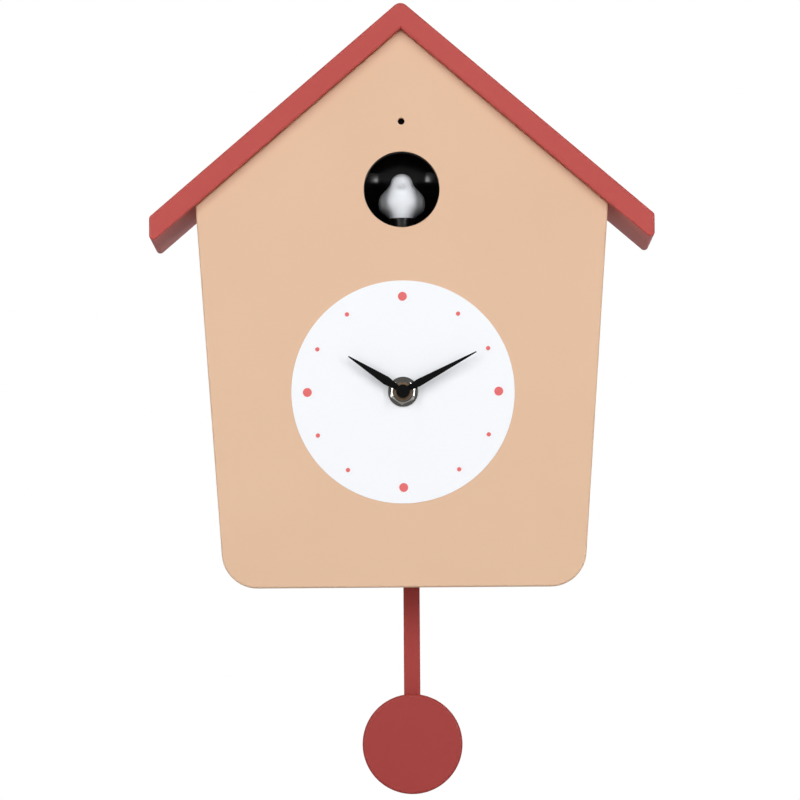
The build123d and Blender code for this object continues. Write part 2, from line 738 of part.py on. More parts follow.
# Wheels of the movement, stacked from the front wall backwards
hour_wheel_rear = wall_inner - BUSH_FLANGE_T - TRAIN_GAP - WHEEL_T
cannon_rear = hour_wheel_rear - TRAIN_GAP - PINION_T
centre_wheel_rear = cannon_rear - WHEEL_T
third_wheel_rear = centre_wheel_rear - TRAIN_GAP - WHEEL_T
motion_pinion_rear = hour_wheel_rear + WHEEL_T / 2 - PINION_T / 2
motion_wheel_rear = cannon_rear + PINION_T / 2 - WHEEL_T / 2
third_pinion_rear = third_wheel_rear + WHEEL_T
cover_front = movement_rear + COVER_T
hour_module = 2 * motion_r / (MOTION_PINION_TEETH + HOUR_TEETH)
third_r = (CENTRE_TEETH + THIRD_PINION_TEETH) * CENTRE_MODULE / 2
third_x = third_r * cos(radians(THIRD_BEARING))
third_z = dial_z + third_r * sin(radians(THIRD_BEARING))
centre = (0, dial_z)
motion_at = (shaft_x, shaft_z)
third_at = (third_x, third_z)
motion_mesh = MOTION_BEARING + 180 + 180 / MOTION_TEETH
motion_pinion_mesh = MOTION_BEARING + 180 + 180 / MOTION_PINION_TEETH
third_mesh = THIRD_BEARING + 180 + 180 / THIRD_PINION_TEETH
with BuildPart() as centre_wheel:
    centre_face = gear(facing(centre_wheel_rear, *centre), CENTRE_TEETH, CENTRE_MODULE, THIRD_BEARING)
    cannon_face = gear(facing(cannon_rear, *centre), CANNON_TEETH, MOTION_MODULE, MOTION_BEARING)
    extrude(centre_face, amount=WHEEL_T)
    extrude(cannon_face, amount=PINION_T)
    extrude(disc(movement_rear, 0, dial_z, MINUTE_PIPE_R), amount=cap_rear + CAP_GRIP - movement_rear)
centre_wheel.part.label = "centre_wheel"
export_step(centre_wheel.part, "parts/centre_wheel.step")

with BuildPart() as hour_wheel:
    extrude(gear(facing(hour_wheel_rear, *centre), HOUR_TEETH, hour_module, MOTION_BEARING), amount=WHEEL_T)
    extrude(disc(hour_wheel_rear, 0, dial_z, hour_pipe_r), amount=hour_hand_rear + HAND_T - hour_wheel_rear)
    hour_bore = disc(hour_wheel_rear, 0, dial_z, hour_pipe_bore)
    extrude(hour_bore, amount=hour_hand_rear + HAND_T - hour_wheel_rear, mode=Mode.SUBTRACT)
hour_wheel.part.label = "hour_wheel"
export_step(hour_wheel.part, "parts/hour_wheel.step")

arbor_front = wall_inner + ARBOR_SEAT
motion_stub_rear = movement_rear - SHAFT_STUB
with BuildPart() as motion_wheel:
    motion_face = gear(facing(motion_wheel_rear, *motion_at), MOTION_TEETH, MOTION_MODULE, motion_mesh)
    motion_pinion_plane = facing(motion_pinion_rear, *motion_at)
    extrude(motion_face, amount=WHEEL_T)
    extrude(
        gear(motion_pinion_plane, MOTION_PINION_TEETH, hour_module, motion_pinion_mesh), amount=PINION_T,
    )
    extrude(disc(motion_stub_rear, *motion_at, SHAFT_R), amount=motion_pinion_rear - motion_stub_rear)
    extrude(disc(motion_pinion_rear, *motion_at, ARBOR_R), amount=arbor_front - motion_pinion_rear)
motion_wheel.part.label = "motion_wheel"
export_step(motion_wheel.part, "parts/motion_wheel.step")

with BuildPart() as third_wheel:
    third_pinion_plane = facing(third_pinion_rear, *third_at)
    extrude(gear(facing(third_wheel_rear, *third_at), THIRD_TEETH, THIRD_MODULE, 0), amount=WHEEL_T)
    extrude(gear(third_pinion_plane, THIRD_PINION_TEETH, CENTRE_MODULE, third_mesh), amount=PINION_T)
    extrude(disc(movement_rear, *third_at, ARBOR_R), amount=arbor_front - movement_rear)
third_wheel.part.label = "third_wheel"
export_step(third_wheel.part, "parts/third_wheel.step")

# Movement housing: a moulded box clamped behind the panel, and the cover that its arbors run in
movement_half = MOVEMENT_W / 2
post_reach = movement_half - POST_INSET
cover_screws_at = [(i * post_reach, dial_z + k * post_reach) for i in (-1, 1) for k in (-1, 1)]
drive_screws_at = [(PENDULUM_X + i * DRIVE_SCREW_X, pivot_z - DRIVE_SCREW_DROP) for i in (-1, 1)]
cover_screw_bite = SMALL_SCREW_L - COVER_T
with BuildPart() as movement_case:
    with BuildSketch(facing(cover_front, 0, dial_z)):
        RectangleRounded(MOVEMENT_W, MOVEMENT_W, MOVEMENT_CORNER_R)
    extrude(amount=panel_rear - cover_front)
    cavity_w = MOVEMENT_W - 2 * MOVEMENT_WALL
    cavity_d = wall_inner - cover_front
    extrude(plate(cover_front, 0, dial_z, cavity_w, cavity_w), amount=cavity_d, mode=Mode.SUBTRACT)
    for x, z in cover_screws_at:
        extrude(disc(cover_front, x, z, POST_R), amount=cavity_d)
        extrude(disc(cover_front, x, z, SMALL_SCREW_R), amount=cover_screw_bite, mode=Mode.SUBTRACT)
    extrude(disc(wall_inner, 0, dial_z, BUSH_R), amount=MOVEMENT_WALL, mode=Mode.SUBTRACT)
    for x, z in (motion_at, third_at):
        pocket = disc(wall_inner, x, z, ARBOR_R + RUN)
        extrude(pocket, amount=ARBOR_SEAT + TRAIN_GAP / 2, mode=Mode.SUBTRACT)
movement_case.part.label = "movement_case"
export_step(movement_case.part, "parts/movement_case.step")

with BuildPart() as movement_cover:
    with BuildSketch(facing(movement_rear, 0, dial_z)):
        RectangleRounded(MOVEMENT_W, MOVEMENT_W, MOVEMENT_CORNER_R)
    extrude(amount=COVER_T)
    cover_holes = [(centre, MINUTE_PIPE_R + RUN), (motion_at, SHAFT_R + RUN), (third_at, ARBOR_R + RUN)]
    cover_holes += [(place, SMALL_SCREW_R) for place in cover_screws_at + drive_screws_at]
    for (x, z), radius in cover_holes:
        extrude(disc(movement_rear, x, z, radius), amount=COVER_T, mode=Mode.SUBTRACT)
movement_cover.part.label = "movement_cover"
export_step(movement_cover.part, "parts/movement_cover.step")

small_head = (SMALL_SCREW_R, SMALL_SCREW_HEAD_R, SMALL_SCREW_HEAD_T)
with BuildPart() as movement_screws:
    for x, z in cover_screws_at:
        add(screw(movement_rear, x, z, SMALL_SCREW_L, *small_head))
    for x, z in drive_screws_at:
        add(screw(drive_front, x, z, SMALL_SCREW_L, *small_head))
movement_screws.part.label = "movement_screws"
export_step(movement_screws.part, "parts/movement_screws.step")

# Stepping motor's iron core and coil, on the front wall under the wheels
step_x = movement_half - 2 * POST_INSET - STEP_CORE_L / 2 - TRAIN_GAP
step_z = dial_z - movement_half + MOVEMENT_WALL + STEP_COIL_R + TRAIN_GAP
step_depth = wall_inner - STEP_COIL_R
with BuildPart() as step_core:
    core_half = STEP_CORE_L / 2
    add(
        slab(
            (step_x - core_half, step_depth - STEP_CORE_T / 2, step_z - STEP_CORE_W / 2),
            (step_x + core_half, step_depth + STEP_CORE_T / 2, step_z + STEP_CORE_W / 2),
        )
    )
step_core.part.label = "step_core"
export_step(step_core.part, "parts/step_core.step")

with BuildPart() as step_coil:
    with BuildSketch(Plane(origin=(step_x - STEP_COIL_L / 2, -step_depth, step_z), z_dir=(1, 0, 0))):
        Circle(STEP_COIL_R)
    extrude(amount=STEP_COIL_L)
    add(step_core.part, mode=Mode.SUBTRACT)
step_coil.part.label = "step_coil"
export_step(step_coil.part, "parts/step_coil.step")

# Setting shaft: a sleeve grips the motion wheel's stub, and a knob sits in the back's round hole
sleeve_rear = movement_rear - SLEEVE_GAP - SHAFT_SLEEVE_L
knob_front = KNOB_SINK + KNOB_T
with BuildPart() as setting_shaft:
    shaft_rear = knob_front - KNOB_SEAT
    extrude(disc(shaft_rear, *motion_at, SHAFT_R), amount=motion_stub_rear - shaft_rear)
    extrude(disc(sleeve_rear, *motion_at, SHAFT_SLEEVE_R), amount=SHAFT_SLEEVE_L)
    extrude(disc(motion_stub_rear, *motion_at, SHAFT_R), amount=SHAFT_STUB, mode=Mode.SUBTRACT)
setting_shaft.part.label = "setting_shaft"
export_step(setting_shaft.part, "parts/setting_shaft.step")

with BuildPart() as setting_knob:
    with BuildSketch(facing(KNOB_SINK, *motion_at)):
        Circle(KNOB_R)
        with PolarLocations(KNOB_R, KNOB_GRIPS):
            Circle(KNOB_GRIP_R, mode=Mode.SUBTRACT)
    extrude(amount=KNOB_T)
    extrude(disc(knob_front, *motion_at, SHAFT_R), amount=-KNOB_SEAT, mode=Mode.SUBTRACT)
setting_knob.part.label = "setting_knob"
export_step(setting_knob.part, "parts/setting_knob.step")

# Pendulum drive: a plate on the movement's cover, with the pivot pin and the driving coil
pivot = (PENDULUM_X, pivot_z)
coil_at = (PENDULUM_X, pivot_z - COIL_BELOW_PIVOT)
drive_low_z = pivot_z - DRIVE_PLATE_DROP
drive_high_z = pivot_z + DRIVE_PLATE_TOP
hub_front = drive_front - DRIVE_BOSS_T - HANGER_GAP
clip_front = bar_rear - PIVOT_CLIP_GAP
pin_rear = clip_front - PIVOT_CLIP_T
with BuildPart() as drive_plate:
    add(
        slab(
            (PENDULUM_X - DRIVE_PLATE_W / 2, drive_front, drive_low_z),
            (PENDULUM_X + DRIVE_PLATE_W / 2, movement_rear, drive_high_z),
        )
    )
    boss_rear = drive_front - DRIVE_BOSS_T
    extrude(disc(boss_rear, *pivot, DRIVE_BOSS_R), amount=DRIVE_BOSS_T)
    extrude(disc(boss_rear, *pivot, PIVOT_R), amount=movement_rear - boss_rear, mode=Mode.SUBTRACT)
    extrude(disc(drive_front, *centre, MINUTE_PIPE_R + RUN), amount=DRIVE_PLATE_T, mode=Mode.SUBTRACT)
    for x, z in drive_screws_at:
        extrude(disc(drive_front, x, z, SMALL_SCREW_R), amount=DRIVE_PLATE_T, mode=Mode.SUBTRACT)
drive_plate.part.label = "drive_plate"
export_step(drive_plate.part, "parts/drive_plate.step")

with BuildPart() as pivot_pin:
    extrude(disc(pin_rear, *pivot, PIVOT_R), amount=movement_rear - pin_rear)
pivot_pin.part.label = "pivot_pin"
export_step(pivot_pin.part, "parts/pivot_pin.step")

with BuildPart() as pivot_clip:
    extrude(disc(pin_rear, *pivot, PIVOT_CLIP_R), amount=PIVOT_CLIP_T)
    extrude(disc(pin_rear, *pivot, PIVOT_R), amount=PIVOT_CLIP_T, mode=Mode.SUBTRACT)
pivot_clip.part.label = "pivot_clip"
export_step(pivot_clip.part, "parts/pivot_clip.step")

with BuildPart() as drive_coil:
    extrude(disc(drive_front - COIL_T, *coil_at, COIL_R), amount=COIL_T)
    extrude(disc(drive_front - COIL_T, *coil_at, COIL_BORE_R), amount=COIL_T, mode=Mode.SUBTRACT)
drive_coil.part.label = "drive_coil"
export_step(drive_coil.part, "parts/drive_coil.step")

# Pendulum: a hanger with a magnet swings on the pin, and the bar with its bob hangs from the hanger
hook_at = (PENDULUM_X, pivot_z - HOOK_BELOW_PIVOT)
bob_at = (PENDULUM_X, dial_z - BOB_BELOW_DIAL)
with BuildPart() as pendulum_hanger:
    stem_mid_z = (pivot_z + hook_at[1]) / 2
    extrude(plate(hanger_rear, PENDULUM_X, stem_mid_z, HANGER_W, HOOK_BELOW_PIVOT), amount=HANGER_T)
    extrude(disc(hanger_rear, *hook_at, HANGER_W / 2), amount=HANGER_T)
    extrude(disc(hanger_rear, *coil_at, PADDLE_R), amount=HANGER_T)
    extrude(disc(bar_rear, *pivot, HANGER_HUB_R), amount=hub_front - bar_rear)
    extrude(disc(bar_rear, *hook_at, HOOK_R), amount=BAR_T)
    extrude(disc(bar_rear - HOOK_HEAD_T, *hook_at, HOOK_HEAD_R), amount=HOOK_HEAD_T)
    extrude(disc(hanger_rear, *coil_at, MAGNET_R), amount=HANGER_T, mode=Mode.SUBTRACT)
    extrude(disc(bar_rear, *pivot, PIVOT_R + RUN), amount=hub_front - bar_rear, mode=Mode.SUBTRACT)
pendulum_hanger.part.label = "pendulum_hanger"
export_step(pendulum_hanger.part, "parts/pendulum_hanger.step")

with BuildPart() as pendulum_magnet:
    extrude(disc(hanger_rear, *coil_at, MAGNET_R), amount=HANGER_T)
pendulum_magnet.part.label = "pendulum_magnet"
export_step(pendulum_magnet.part, "parts/pendulum_magnet.step")

bob_screws_at = [(PENDULUM_X, bob_at[1] + k * BOB_SCREW_SPACING / 2) for k in (-1, 1)]
bar_top_z = hook_at[1] + BAR_ABOVE_HOOK
bar_low_z = bob_at[1] - BAR_BELOW_BOB
with BuildPart() as pendulum_bar:
    bar_face = plate(bar_rear, PENDULUM_X, (bar_top_z + bar_low_z) / 2, BAR_W, bar_top_z - bar_low_z)
    extrude(bar_face, amount=BAR_T)
    fillet(pendulum_bar.edges().filter_by(Axis.Z), BAR_EDGE_R)
    extrude(disc(bar_rear, *hook_at, HOOK_R), amount=BAR_T, mode=Mode.SUBTRACT)
    for x, z in bob_screws_at:
        extrude(disc(bar_rear, x, z, SCREW_R), amount=BAR_T, mode=Mode.SUBTRACT)
pendulum_bar.part.label = "pendulum_bar"
export_step(pendulum_bar.part, "parts/pendulum_bar.step")

with BuildPart() as pendulum_bob:
    extrude(disc(hanger_rear, *bob_at, BOB_R), amount=BOB_T)
    fillet(pendulum_bob.edges(), BOB_EDGE_R)
    for x, z in bob_screws_at:
        extrude(disc(hanger_rear, x, z, SCREW_R), amount=BOB_SCREW_L - BAR_T, mode=Mode.SUBTRACT)
pendulum_bob.part.label = "pendulum_bob"
export_step(pendulum_bob.part, "parts/pendulum_bob.step")

with BuildPart() as bob_screws:
    for x, z in bob_screws_at:
        add(screw(bar_rear, x, z, BOB_SCREW_L, SCREW_R, SCREW_HEAD_R, SCREW_HEAD_T))
bob_screws.part.label = "bob_screws"
export_step(bob_screws.part, "parts/bob_screws.step")

# Bird: a body that narrows to the neck and head, folded wings, a tail and a small beak
feet_z = bird_z - FEET_BELOW_BIRD_HOLE
wing_form = scale(Sphere(1), by=(WING_R, WING_L, WING_H))
tail_form = scale(Sphere(1), by=(TAIL_W, TAIL_L, TAIL_T))
beak_form = Rot(90, 0, 0) * Cone(BEAK_R, BEAK_TIP_R, BEAK_L)
head_front = BIRD_DEPTH + HEAD_REACH
with BuildPart() as bird:
    for share, half_w, half_d, back in BIRD_SECTIONS:
        with BuildSketch(Plane.XY.offset(feet_z + share * BIRD_H)):
            with Locations((0, back - BIRD_DEPTH)):
                Ellipse(half_w, half_d)
    loft()
    for side in (-1, 1):
        add(Pos(side * (WING_SPAN / 2 - WING_R), WING_BACK - BIRD_DEPTH, feet_z + WING_RISE) * wing_form)
    add(Pos(0, TAIL_BACK - BIRD_DEPTH, feet_z + TAIL_RISE) * tail_form)
    add(Pos(0, BEAK_SINK - BEAK_L / 2 - head_front, feet_z + BEAK_RISE) * beak_form)
bird.part.label = "bird"
export_step(bird.part, "parts/bird.step")

# Carriage: a rimmed perch on a slim arm, a post through the niche floor, and a block with a rack below
arm_low_z = bird_z - BIRD_HOLE_R + ARM_GAP
arm_high_z = arm_low_z + ARM_T
perch_rim_z = feet_z - PERCH_RIM_T
post_front = BIRD_DEPTH - POST_BEHIND_BIRD + POST_L / 2
post_rear = post_front - POST_L
block_top_z = base_floor_z - FLOOR_T - SLIDE_GAP
block_low_z = block_top_z - BLOCK_H
block_front = post_front + BLOCK_AHEAD
block_rear = block_front - BLOCK_L
rack_root_z = block_low_z - RACK_BACK
rack_pitch_z = rack_root_z - DEDENDUM * RACK_MODULE
rack_tip_z = rack_pitch_z - ADDENDUM * RACK_MODULE
rack_step = RACK_MODULE * pi
rack_half_teeth = int((BLOCK_L / rack_step - 1) / 2)
rack_mid = (block_front + block_rear) / 2
with BuildPart() as bird_carriage:
    with BuildSketch(Plane.XY.offset(arm_high_z)):
        with Locations((0, -BIRD_DEPTH)):
            Circle(PERCH_R)
    extrude(amount=perch_rim_z - arm_high_z)
    with BuildSketch(Plane.XY.offset(perch_rim_z)):
        with Locations((0, -BIRD_DEPTH)):
            Circle(BIRD_FEET_R)
    extrude(amount=PERCH_RIM_T)
    add(slab((-ARM_W / 2, post_rear, arm_low_z), (ARM_W / 2, BIRD_DEPTH + ARM_AHEAD, arm_high_z)))
    add(slab((-ARM_W / 2, post_rear, block_top_z), (ARM_W / 2, post_front, arm_low_z)))
    add(slab((-BLOCK_W / 2, block_rear, block_low_z), (BLOCK_W / 2, block_front, block_top_z)))
    add(slab((-RACK_W / 2, block_rear, rack_root_z), (RACK_W / 2, block_front, block_low_z)))
    with BuildSketch(Plane.YZ.offset(-RACK_W / 2)):
        for tooth in range(-rack_half_teeth, rack_half_teeth + 1):
            y = tooth * rack_step - rack_mid
            with BuildLine():
                Polyline(
                    (y - ROOT_SHARE * rack_step, rack_root_z),
                    (y - TIP_SHARE * rack_step, rack_tip_z),
                    (y + TIP_SHARE * rack_step, rack_tip_z),
                    (y + ROOT_SHARE * rack_step, rack_root_z),
                    close=True,
                )
            make_face()
    extrude(amount=RACK_W)
bird_carriage.part.label = "bird_carriage"
export_step(bird_carriage.part, "parts/bird_carriage.step")

# Base: the niche floor, with the rails that the block runs in, a flange and the motor's saddle
pinion_r = RACK_PINION_TEETH * RACK_MODULE / 2
pinion_z = rack_pitch_z - pinion_r - MESH_GAP
pinion_tooth = round((BLOCK_L / 2 - PINION_FROM_END) / rack_step) + 0.5
pinion_depth = rack_mid + pinion_tooth * rack_step
rail_inner = BLOCK_W / 2 + RAIL_GAP
rail_outer = rail_inner + RAIL_T
rail_rear = block_rear - RAIL_BEHIND_BLOCK
lip_top_z = block_low_z - SLIDE_GAP
lip_low_z = lip_top_z - RAIL_LIP_T
motor_x = rail_outer + MOTOR_GAP
motor_low = (motor_x, pinion_depth - MOTOR_D / 2, pinion_z - MOTOR_W / 2)
motor_high = (motor_x + MOTOR_L, pinion_depth + MOTOR_D / 2, pinion_z + MOTOR_W / 2)
floor_low_z = base_floor_z - FLOOR_T
niche_half = NICHE_W / 2 + NICHE_WALL
niche_rear = BIRD_DEPTH - SCREEN_BEHIND_BIRD - SCREEN_T - NICHE_GAP - NICHE_WALL
with BuildPart() as bird_base:
    floor_low = (-niche_half, min(niche_rear, rail_rear), floor_low_z)
    add(slab(floor_low, (motor_high[0], panel_rear, base_floor_z)))
    flange_low = (-FLANGE_W / 2, base_screw_depth, base_floor_z - FLANGE_H)
    add(slab(flange_low, (FLANGE_W / 2, panel_rear, base_floor_z)))
    for inner, outer in ((-rail_outer, -rail_inner), (rail_inner, rail_outer)):
        add(slab((inner, rail_rear, lip_low_z), (outer, panel_rear, floor_low_z)))
    for inner, outer in ((-rail_inner, RAIL_LIP - rail_inner), (rail_inner - RAIL_LIP, rail_inner)):
        add(slab((inner, rail_rear, lip_low_z), (outer, panel_rear, lip_top_z)))
    saddle_low = (motor_high[0] - SADDLE_L, motor_low[1], motor_high[2])
    add(slab(saddle_low, (motor_high[0], motor_high[1], floor_low_z)))
    slot_low = (-ARM_W / 2 - ARM_SLOT_GAP, post_rear - ARM_SLOT_GAP, floor_low_z)
    slot_high = (ARM_W / 2 + ARM_SLOT_GAP, post_front + BIRD_STROKE + ARM_SLOT_GAP, base_floor_z)
    add(slab(slot_low, slot_high), mode=Mode.SUBTRACT)
    for x, z in base_screws_at:
        extrude(disc(base_screw_depth, x, z, SCREW_R), amount=FLANGE_T, mode=Mode.SUBTRACT)
bird_base.part.label = "bird_base"
export_step(bird_base.part, "parts/bird_base.step")

with BuildPart() as bird_motor:
    add(slab(motor_low, motor_high))
    with BuildSketch(Plane(origin=(motor_x, -pinion_depth, pinion_z), z_dir=(1, 0, 0))):
        Circle(MOTOR_SHAFT_R + RUN)
    extrude(amount=MOTOR_SHAFT_SEAT, mode=Mode.SUBTRACT)
bird_motor.part.label = "bird_motor"
export_step(bird_motor.part, "parts/bird_motor.step")

pinion_origin = (-RACK_PINION_W / 2, -pinion_depth, pinion_z)
pinion_plane = Plane(origin=pinion_origin, x_dir=(0, 1, 0), z_dir=(1, 0, 0))
with BuildPart() as bird_pinion:
    extrude(gear(pinion_plane, RACK_PINION_TEETH, RACK_MODULE, 90), amount=RACK_PINION_W)
    with BuildSketch(pinion_plane):
        Circle(MOTOR_SHAFT_R)
    extrude(amount=RACK_PINION_W / 2 + motor_x + MOTOR_SHAFT_SEAT - RUN)
bird_pinion.part.label = "bird_pinion"
export_step(bird_pinion.part, "parts/bird_pinion.step")

# Niche: a black hood behind the round hole, and a curved screen behind the bird
hood_top_z = min(base_floor_z + NICHE_H, apex_z - niche_half * tan(pitch) - NICHE_GAP)
with BuildPart() as niche_hood:
    add(slab((-niche_half, niche_rear, base_floor_z), (niche_half, panel_rear, hood_top_z)))
    for side in (-1, 1):
        extrude(
            plate(base_screw_depth, side * niche_ear_x, bird_z + NICHE_EAR_RISE, NICHE_EAR, NICHE_EAR_H),
            amount=FLANGE_T,
        )
    hollow_low = (-NICHE_W / 2, niche_rear + NICHE_WALL, base_floor_z)
    add(slab(hollow_low, (NICHE_W / 2, panel_rear, hood_top_z - NICHE_WALL)), mode=Mode.SUBTRACT)
    for x, z in base_screws_at:
        extrude(disc(base_screw_depth, x, z, SCREW_R), amount=FLANGE_T, mode=Mode.SUBTRACT)
niche_hood.part.label = "niche_hood"
export_step(niche_hood.part, "parts/niche_hood.step")

screen_centre = BIRD_DEPTH - SCREEN_BEHIND_BIRD + SCREEN_R
screen_ends = screen_centre - sqrt(SCREEN_R**2 - (NICHE_W / 2) ** 2)
with BuildPart() as niche_screen:
    with BuildSketch(Plane.XY.offset(base_floor_z)):
        with Locations((0, -screen_centre)):
            Circle(SCREEN_R + SCREEN_T)
            Circle(SCREEN_R, mode=Mode.SUBTRACT)
        with Locations((0, -screen_ends)):
            Rectangle(NICHE_W, 2 * SCREEN_R, align=(Align.CENTER, Align.MIN), mode=Mode.INTERSECT)
    extrude(amount=SCREEN_H)
niche_screen.part.label = "niche_screen"
export_step(niche_screen.part, "parts/niche_screen.step")

with BuildPart() as base_screws:
    for x, z in base_screws_at:
        add(screw(base_screw_depth, x, z, BASE_SCREW_L, SCREW_R, SCREW_HEAD_R, SCREW_HEAD_T))
base_screws.part.label = "base_screws"
export_step(base_screws.part, "parts/base_screws.step")

# Loudspeaker: a pressed basket with its rim on the back, a paper cone and a ring magnet
rim_front = BACK_T + SPEAKER_RIM_T
throat_front = rim_front + SPEAKER_CONE_D
cone_mouth_r = SPEAKER_R - SPEAKER_RIM_W


def funnel(mouth, throat, mouth_depth, throat_depth):
    """Solid that narrows from a wide mouth to a throat further from the wall."""
    with BuildPart(mode=Mode.PRIVATE) as body:
        mouth_face = disc(mouth_depth, speaker_x, speaker_z, mouth)
        throat_face = disc(throat_depth, speaker_x, speaker_z, throat)
        loft([mouth_face, throat_face])
    return body.part


basket_outside = funnel(SPEAKER_R - SPEAKER_SHELL, SPEAKER_MAGNET_R, rim_front, throat_front)
cone_front = throat_front - SPEAKER_SHELL
cone_outside = funnel(cone_mouth_r, SPEAKER_THROAT_R, BACK_T, cone_front)
cone_inside = funnel(cone_mouth_r - SPEAKER_SHELL, SPEAKER_THROAT_R - SPEAKER_SHELL, BACK_T, cone_front)
with BuildPart() as speaker_basket:
    extrude(disc(BACK_T, speaker_x, speaker_z, SPEAKER_R), amount=SPEAKER_RIM_T)
    add(basket_outside)
    add(cone_outside, mode=Mode.SUBTRACT)
speaker_basket.part.label = "speaker_basket"
export_step(speaker_basket.part, "parts/speaker_basket.step")

with BuildPart() as speaker_cone:
    add(cone_outside)
    add(cone_inside, mode=Mode.SUBTRACT)
    extrude(disc(cone_front, speaker_x, speaker_z, SPEAKER_THROAT_R), amount=-SPEAKER_SHELL)
speaker_cone.part.label = "speaker_cone"
export_step(speaker_cone.part, "parts/speaker_cone.step")

with BuildPart() as speaker_magnet:
    extrude(disc(throat_front, speaker_x, speaker_z, SPEAKER_MAGNET_R), amount=SPEAKER_MAGNET_T)
speaker_magnet.part.label = "speaker_magnet"
export_step(speaker_magnet.part, "parts/speaker_magnet.step")

# Sound board on its bosses, with a chip, the volume switch and the test button's switch
with BuildPart() as sound_board:
    extrude(plate(board_rear, board_x, board_z, BOARD_W, BOARD_H), amount=BOARD_T)
    for x, z in board_screws_at:
        extrude(disc(board_rear, x, z, SMALL_SCREW_R), amount=BOARD_T, mode=Mode.SUBTRACT)
sound_board.part.label = "sound_board"
export_step(sound_board.part, "parts/sound_board.step")

board_front = board_rear + BOARD_T
with BuildPart() as board_screws:
    for x, z in board_screws_at:
        extrude(disc(board_front - SMALL_SCREW_L, x, z, SMALL_SCREW_R), amount=SMALL_SCREW_L)
        extrude(disc(board_front, x, z, SMALL_SCREW_HEAD_R), amount=SMALL_SCREW_HEAD_T)
board_screws.part.label = "board_screws"
export_step(board_screws.part, "parts/board_screws.step")

with BuildPart() as sound_chip:
    extrude(plate(board_front, board_x, board_z, CHIP_W, CHIP_W), amount=CHIP_T)
sound_chip.part.label = "sound_chip"
export_step(sound_chip.part, "parts/sound_chip.step")

switch_rear = board_rear - SWITCH_T
with BuildPart() as volume_switch:
    extrude(plate(switch_rear, board_x, switch_z, SWITCH_W, SWITCH_H), amount=SWITCH_T)
volume_switch.part.label = "volume_switch"
export_step(volume_switch.part, "parts/volume_switch.step")

shoe_rear = switch_rear - SLIDE_GAP - SLIDER_SHOE_T
with BuildPart() as volume_slider:
    extrude(plate(shoe_rear, board_x, switch_z, SLIDER_SHOE_W, SWITCH_H), amount=SLIDER_SHOE_T)
    extrude(plate(LEVER_SINK, board_x, switch_z, SLIDER_W, SLIDER_H), amount=shoe_rear - LEVER_SINK)
volume_slider.part.label = "volume_slider"
export_step(volume_slider.part, "parts/volume_slider.step")

tact_rear = board_rear - TACT_T
with BuildPart() as test_switch:
    extrude(plate(tact_rear, board_x, button_z, TACT_W, TACT_W), amount=TACT_T)
test_switch.part.label = "test_switch"
export_step(test_switch.part, "parts/test_switch.step")

button_front = tact_rear - BUTTON_TRAVEL - BUTTON_GAP
with BuildPart() as test_button:
    extrude(disc(LEVER_SINK, board_x, button_z, BUTTON_R), amount=button_front - LEVER_SINK)
    extrude(disc(BACK_T + BUTTON_GAP, board_x, button_z, BUTTON_COLLAR_R), amount=BUTTON_COLLAR_T)
test_button.part.label = "test_button"
export_step(test_button.part, "parts/test_button.step")

# Battery bay: a tray behind the back's opening, three cells, their contacts and a hinged door
bay_front = BACK_T + BAY_DEPTH + BAY_WALL
with BuildPart() as battery_tray:
    tray_w = bay_w + 2 * BAY_WALL
    tray_h = bay_h + 2 * BAY_WALL
    extrude(plate(BACK_T, 0, bay_z, tray_w, tray_h), amount=bay_front - BACK_T)
    extrude(plate(BACK_T, 0, bay_z, tray_w + 2 * BAY_FLANGE, tray_h), amount=BAY_WALL)
    extrude(plate(BACK_T, 0, bay_z, bay_w, bay_h), amount=BAY_DEPTH, mode=Mode.SUBTRACT)
    for x, z in bay_screws_at:
        extrude(disc(BACK_T, x, z, SMALL_SCREW_R), amount=BAY_WALL, mode=Mode.SUBTRACT)
battery_tray.part.label = "battery_tray"
export_step(battery_tray.part, "parts/battery_tray.step")

flange_front = BACK_T + BAY_WALL
with BuildPart() as bay_screws:
    for x, z in bay_screws_at:
        extrude(disc(flange_front - BAY_SCREW_L, x, z, SMALL_SCREW_R), amount=BAY_SCREW_L)
        extrude(disc(flange_front, x, z, SMALL_SCREW_HEAD_R), amount=SMALL_SCREW_HEAD_T)
bay_screws.part.label = "bay_screws"
export_step(bay_screws.part, "parts/bay_screws.step")

cell_depth = BACK_T + BAY_DEPTH - CELL_R
cell_rows = [(row - (CELLS - 1) / 2) * bay_h / CELLS for row in range(CELLS)]
cell_low_x = CONTACT_SPRING_L + CONTACT_T - bay_w / 2
with BuildPart() as battery_cells:
    for row, rise in enumerate(cell_rows):
        way = 1 - 2 * (row % 2)
        cell_end = Plane(origin=(way * cell_low_x, -cell_depth, bay_z + rise), z_dir=(way, 0, 0))
        with BuildSketch(cell_end):
            Circle(CELL_R)
        extrude(amount=CELL_L)
        with BuildSketch(cell_end):
            Circle(CELL_NUB_R)
        extrude(amount=CELL_L + CELL_NUB_L)
battery_cells.part.label = "battery_cells"
export_step(battery_cells.part, "parts/battery_cells.step")

with BuildPart() as battery_contacts:
    for row, rise in enumerate(cell_rows):
        way = 1 - 2 * (row % 2)
        for end in (-1, 1):
            inner, outer = sorted((end * (bay_w / 2 - CONTACT_T), end * bay_w / 2))
            contact_low = (inner, cell_depth - CONTACT_W / 2, bay_z + rise - CONTACT_W / 2)
            add(slab(contact_low, (outer, cell_depth + CONTACT_W / 2, bay_z + rise + CONTACT_W / 2)))
        spring_x = way * (CONTACT_T - bay_w / 2)
        with BuildSketch(Plane(origin=(spring_x, -cell_depth, bay_z + rise), z_dir=(way, 0, 0))):
            Circle(CONTACT_SPRING_R)
        extrude(amount=CONTACT_SPRING_L)
battery_contacts.part.label = "battery_contacts"
export_step(battery_contacts.part, "parts/battery_contacts.step")

